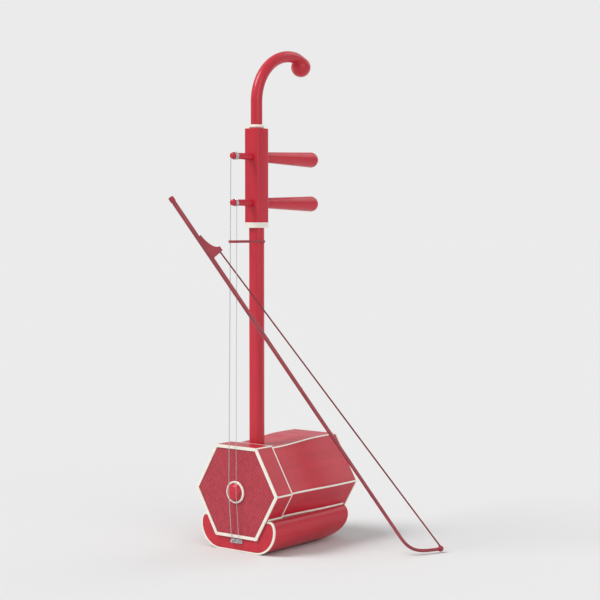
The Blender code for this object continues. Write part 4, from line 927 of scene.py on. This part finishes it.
bend = np.array([STICK_STRAIGHT_END, stick_height(STICK_STRAIGHT_END)])
pull = TIP_PULL * np.linalg.norm(STICK_TIP - bend)
tip_bend = curve_through(bend, bend + arc(np.arctan(STICK_RISE), pull),
                         STICK_TIP - arc(STICK_TIP_DIRECTION, pull), STICK_TIP, 60)
straight_x = np.linspace(STICK_START, STICK_STRAIGHT_END, 421)[:-1]
line = np.vstack([np.stack([straight_x, stick_height(straight_x)], -1), tip_bend])
share = (line[:, 0] - STICK_START) / (STICK_TIP[0] - STICK_START)
from_joint = walked(line)[:, None] - CANE_JOINTS
radius = (STICK_RADIUS + (STICK_TIP_RADIUS - STICK_RADIUS) * share
          + (RIDGE_RISE * np.exp(-(from_joint / RIDGE_HALF) ** 2)
             - DIP_DEPTH * np.exp(-((from_joint - DIP_AT) / DIP_HALF) ** 2)).sum(1))
radius[0] -= 0.0003
rings, straight = tube(on_bow(np.insert(line, 2, 0, axis=1)), radius[:, None], 20, BOW_AXES[2])
bamboo = finish("stained_bamboo", bamboo_look, True, Coat_Weight=0.35, Coat_Roughness=0.2)
shell("bow_stick_cane", rings, bamboo, "bow_stick", straight, body="bow")

# ---- bow hair
# About a hundred and fifty long horse hairs, dyed crimson and combed into a flat ribbon. They are
# wedged into the frog at one end and tied into the bead at the tip.
HAIR_LIGHT, HAIR_DARK = (0.42, 0.036, 0.056, 1), (0.160, 0.010, 0.018, 1)
HAIRS, HAIR_RADIUS, HAIR_SEED = 150, 0.00009, 7


def hair_look(tree, place):
    """Dyed hair: each strand has its own tone, with a long soft shine."""
    own = node(tree, "SeparateXYZ", {0: place}).outputs["X"]
    return {"Base Color": mixed(tree, own, HAIR_DARK, HAIR_LIGHT)}


draw = np.random.default_rng(HAIR_SEED)
along = np.linspace(HAIR_START, HAIR_END, 40)
columns = np.tile(np.linspace(-0.96, 0.96, HAIRS // 3), 3) + draw.normal(0, 0.02, HAIRS)
layers = np.repeat([-0.6, 0.0, 0.6], HAIRS // 3) + draw.normal(0, 0.08, HAIRS)
share = (along - HAIR_START) / (HAIR_END - HAIR_START)
sway = (draw.normal(0, 0.045, (HAIRS, 1)) * np.sin(pi * share)
        + draw.normal(0, 0.025, (HAIRS, 1)) * np.sin(2 * pi * share))
room = np.array([HAIR_THICKNESS, HAIR_WIDTH]) / 2 - HAIR_RADIUS
lift, across = [np.clip(own[:, None] + sway, -1, 1) * half
                for own, half in zip((layers, columns), room)]
paths = np.stack([np.broadcast_to(along, across.shape), lift, across], -1)
rings, straight = tube(on_bow(paths), HAIR_RADIUS, 5, BOW_AXES[2])
straight[..., 0] = draw.uniform(0, 1, (HAIRS, 1, 1))
dyed_hair = finish("dyed_hair", hair_look, True, Roughness=0.42, IOR=1.55)
shell("bow_hair_strands", rings, dyed_hair, "bow_hair", straight, body="bow", sharp=180)

# ---- frog, screw and tip bead
# The frog is sawn from dark hardwood, hollowed at its throat and grooved to ride on the stick. A
# wooden button turns a brass screw in the butt, which draws the frog back by its brass eyelet. A
# bead of the same wood closes the tip.
SHANK_RADIUS, SHANK_END = 0.0010, 0.1021358
BUTTON_RADIUS, BUTTON_LENGTH, BUTTON_SOCKET, BUTTON_FOOT = 0.0045, 0.0105, 0.0065, 0.0038
DOME_FLAT, DOME_REACH, DOME_RISE = 0.0023, 0.0022, 0.0029  # of the button's rounded end
BUTTON_INSET = 0.0001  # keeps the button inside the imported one
TIP_BEAD_RADIUS = 0.00492
frog_wood = lacquer("lacquer_of_frog", ALONG_Z, STICK_LIGHT, STICK_DARK, rub=0.5)
eased_copy("frog_wood", frog_wood, "frog", 0.0005, 3, body="frog")
eased_copy("frog_eyelet_brass", brass, "frog_eyelet", 0, body="frog")
dome_foot = BUTTON_LENGTH - BUTTON_INSET - DOME_RISE
button = np.vstack([
    [0, BUTTON_LENGTH - BUTTON_INSET],
    arc(np.linspace(pi / 2, 0, 10), DOME_REACH, DOME_RISE, (DOME_FLAT, dome_foot)),
    eased([(BUTTON_RADIUS, dome_foot - 0.0001), (BUTTON_RADIUS, 0.0032),
           (BUTTON_FOOT, BUTTON_INSET), (SHANK_RADIUS + GAP, BUTTON_INSET),
           (SHANK_RADIUS + GAP, BUTTON_SOCKET), (0, BUTTON_SOCKET)], 0.0004)[1:]])
shank = eased([(0, BUTTON_SOCKET - GAP), (SHANK_RADIUS, BUTTON_SOCKET - GAP),
               (SHANK_RADIUS, -SHANK_END), (0, -SHANK_END)], 0.0003)
for name, profile, steps, stuff, slot, cad in (
        ("bow_button_turned", button, 56, frog_wood, "bow_bamboo", "bow_button"),
        ("bow_screw_shank", shank, 20, brass, "brass", "bow_screw")):
    shell(name, turned(profile, butt - GAP * stick_axis, -stick_axis, steps)[0], stuff, cad,
          body="bow_screw", sharp=50)
low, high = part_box("bow_tip")
bead = arc(np.linspace(-pi / 2, pi / 2, 25), TIP_BEAD_RADIUS)
shell("bow_tip_bead", turned(bead, (low + high) / 2, BOW_AXES[2], 40)[0], frog_wood,
      "bow_tip", body="bow", sharp=60)

# ---- floor, light and camera
# A plain pale floor under wide soft studio lights, which shine evenly: a key from the left of the
# front, a weaker fill from the right and a rim light from behind. The backdrop is the floor's tone.
# The camera stands to the right of the front, just below the pegs, and looks a little down.
CAMERA_TURN, CAMERA_HEIGHT, CAMERA_AWAY = radians(38), 0.52, 2.4
FLOOR_HALF, FLOOR_TONE = 60, (0.706, 0.704, 0.701, 1)
SKY_LIGHT, BACKDROP_TONE = (0.50, 0.505, 0.51, 1), (0.83, 0.83, 0.83, 1)


def soft_light(name, toward, strength, width):
    """A wide light from far off, so many degrees across and in watts per square metre."""
    data = bpy.data.lights.new(name, "SUN")
    data.energy, data.angle = strength, radians(width)
    put(name, data).rotation_euler = Vector(toward).to_track_quat("-Z", "Y").to_euler()


corners = FLOOR_HALF * np.array([(-1, -1, 0), (1, -1, 0), (1, 1, 0), (-1, 1, 0)])
floor_data = bpy.data.meshes.new("floor")
floor_data.from_pydata(corners, [], [(0, 1, 2, 3)])
floor_data.materials.append(finish("floor", lambda tree, place: {"Base Color": FLOOR_TONE},
                                   Roughness=1.0, Specular_IOR_Level=0.0))
put("floor", floor_data)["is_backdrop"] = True
world = bpy.data.worlds.new("studio")
world.use_nodes = True
sky = world.node_tree
seen = node(sky, "LightPath").outputs["Is Camera Ray"]
feed(sky, sky.nodes["Background"], {"Color": mixed(sky, seen, SKY_LIGHT, BACKDROP_TONE)})
bpy.context.scene.world = world
soft_light("key", (0.55, 0.80, -1.15), 2.2, 30)
soft_light("fill", (-2.5, 1.0, -0.9), 0.75, 50)
soft_light("rim", (-0.55, -2.2, -1.4), 0.4, 40)

camera_data = bpy.data.cameras.new("camera")
camera_data.lens, camera_data.clip_start, camera_data.clip_end = 91, 0.05, 200
camera = put("camera", camera_data)
middle = (cad_low + cad_high) / 2
toward = Vector((-sin(CAMERA_TURN), cos(CAMERA_TURN), 0))
target = Vector((middle.x, 0, middle.z))
camera.location = Vector((middle.x, 0, CAMERA_HEIGHT)) - CAMERA_AWAY * toward
camera.rotation_euler = (target - camera.location).to_track_quat("-Z", "Y").to_euler()
bpy.context.scene.camera = camera
bpy.context.scene.view_settings.view_transform = "Standard"

# ---- sizes
# The box round the finished model is measured, as that of the imported one was at the start.
low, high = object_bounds()
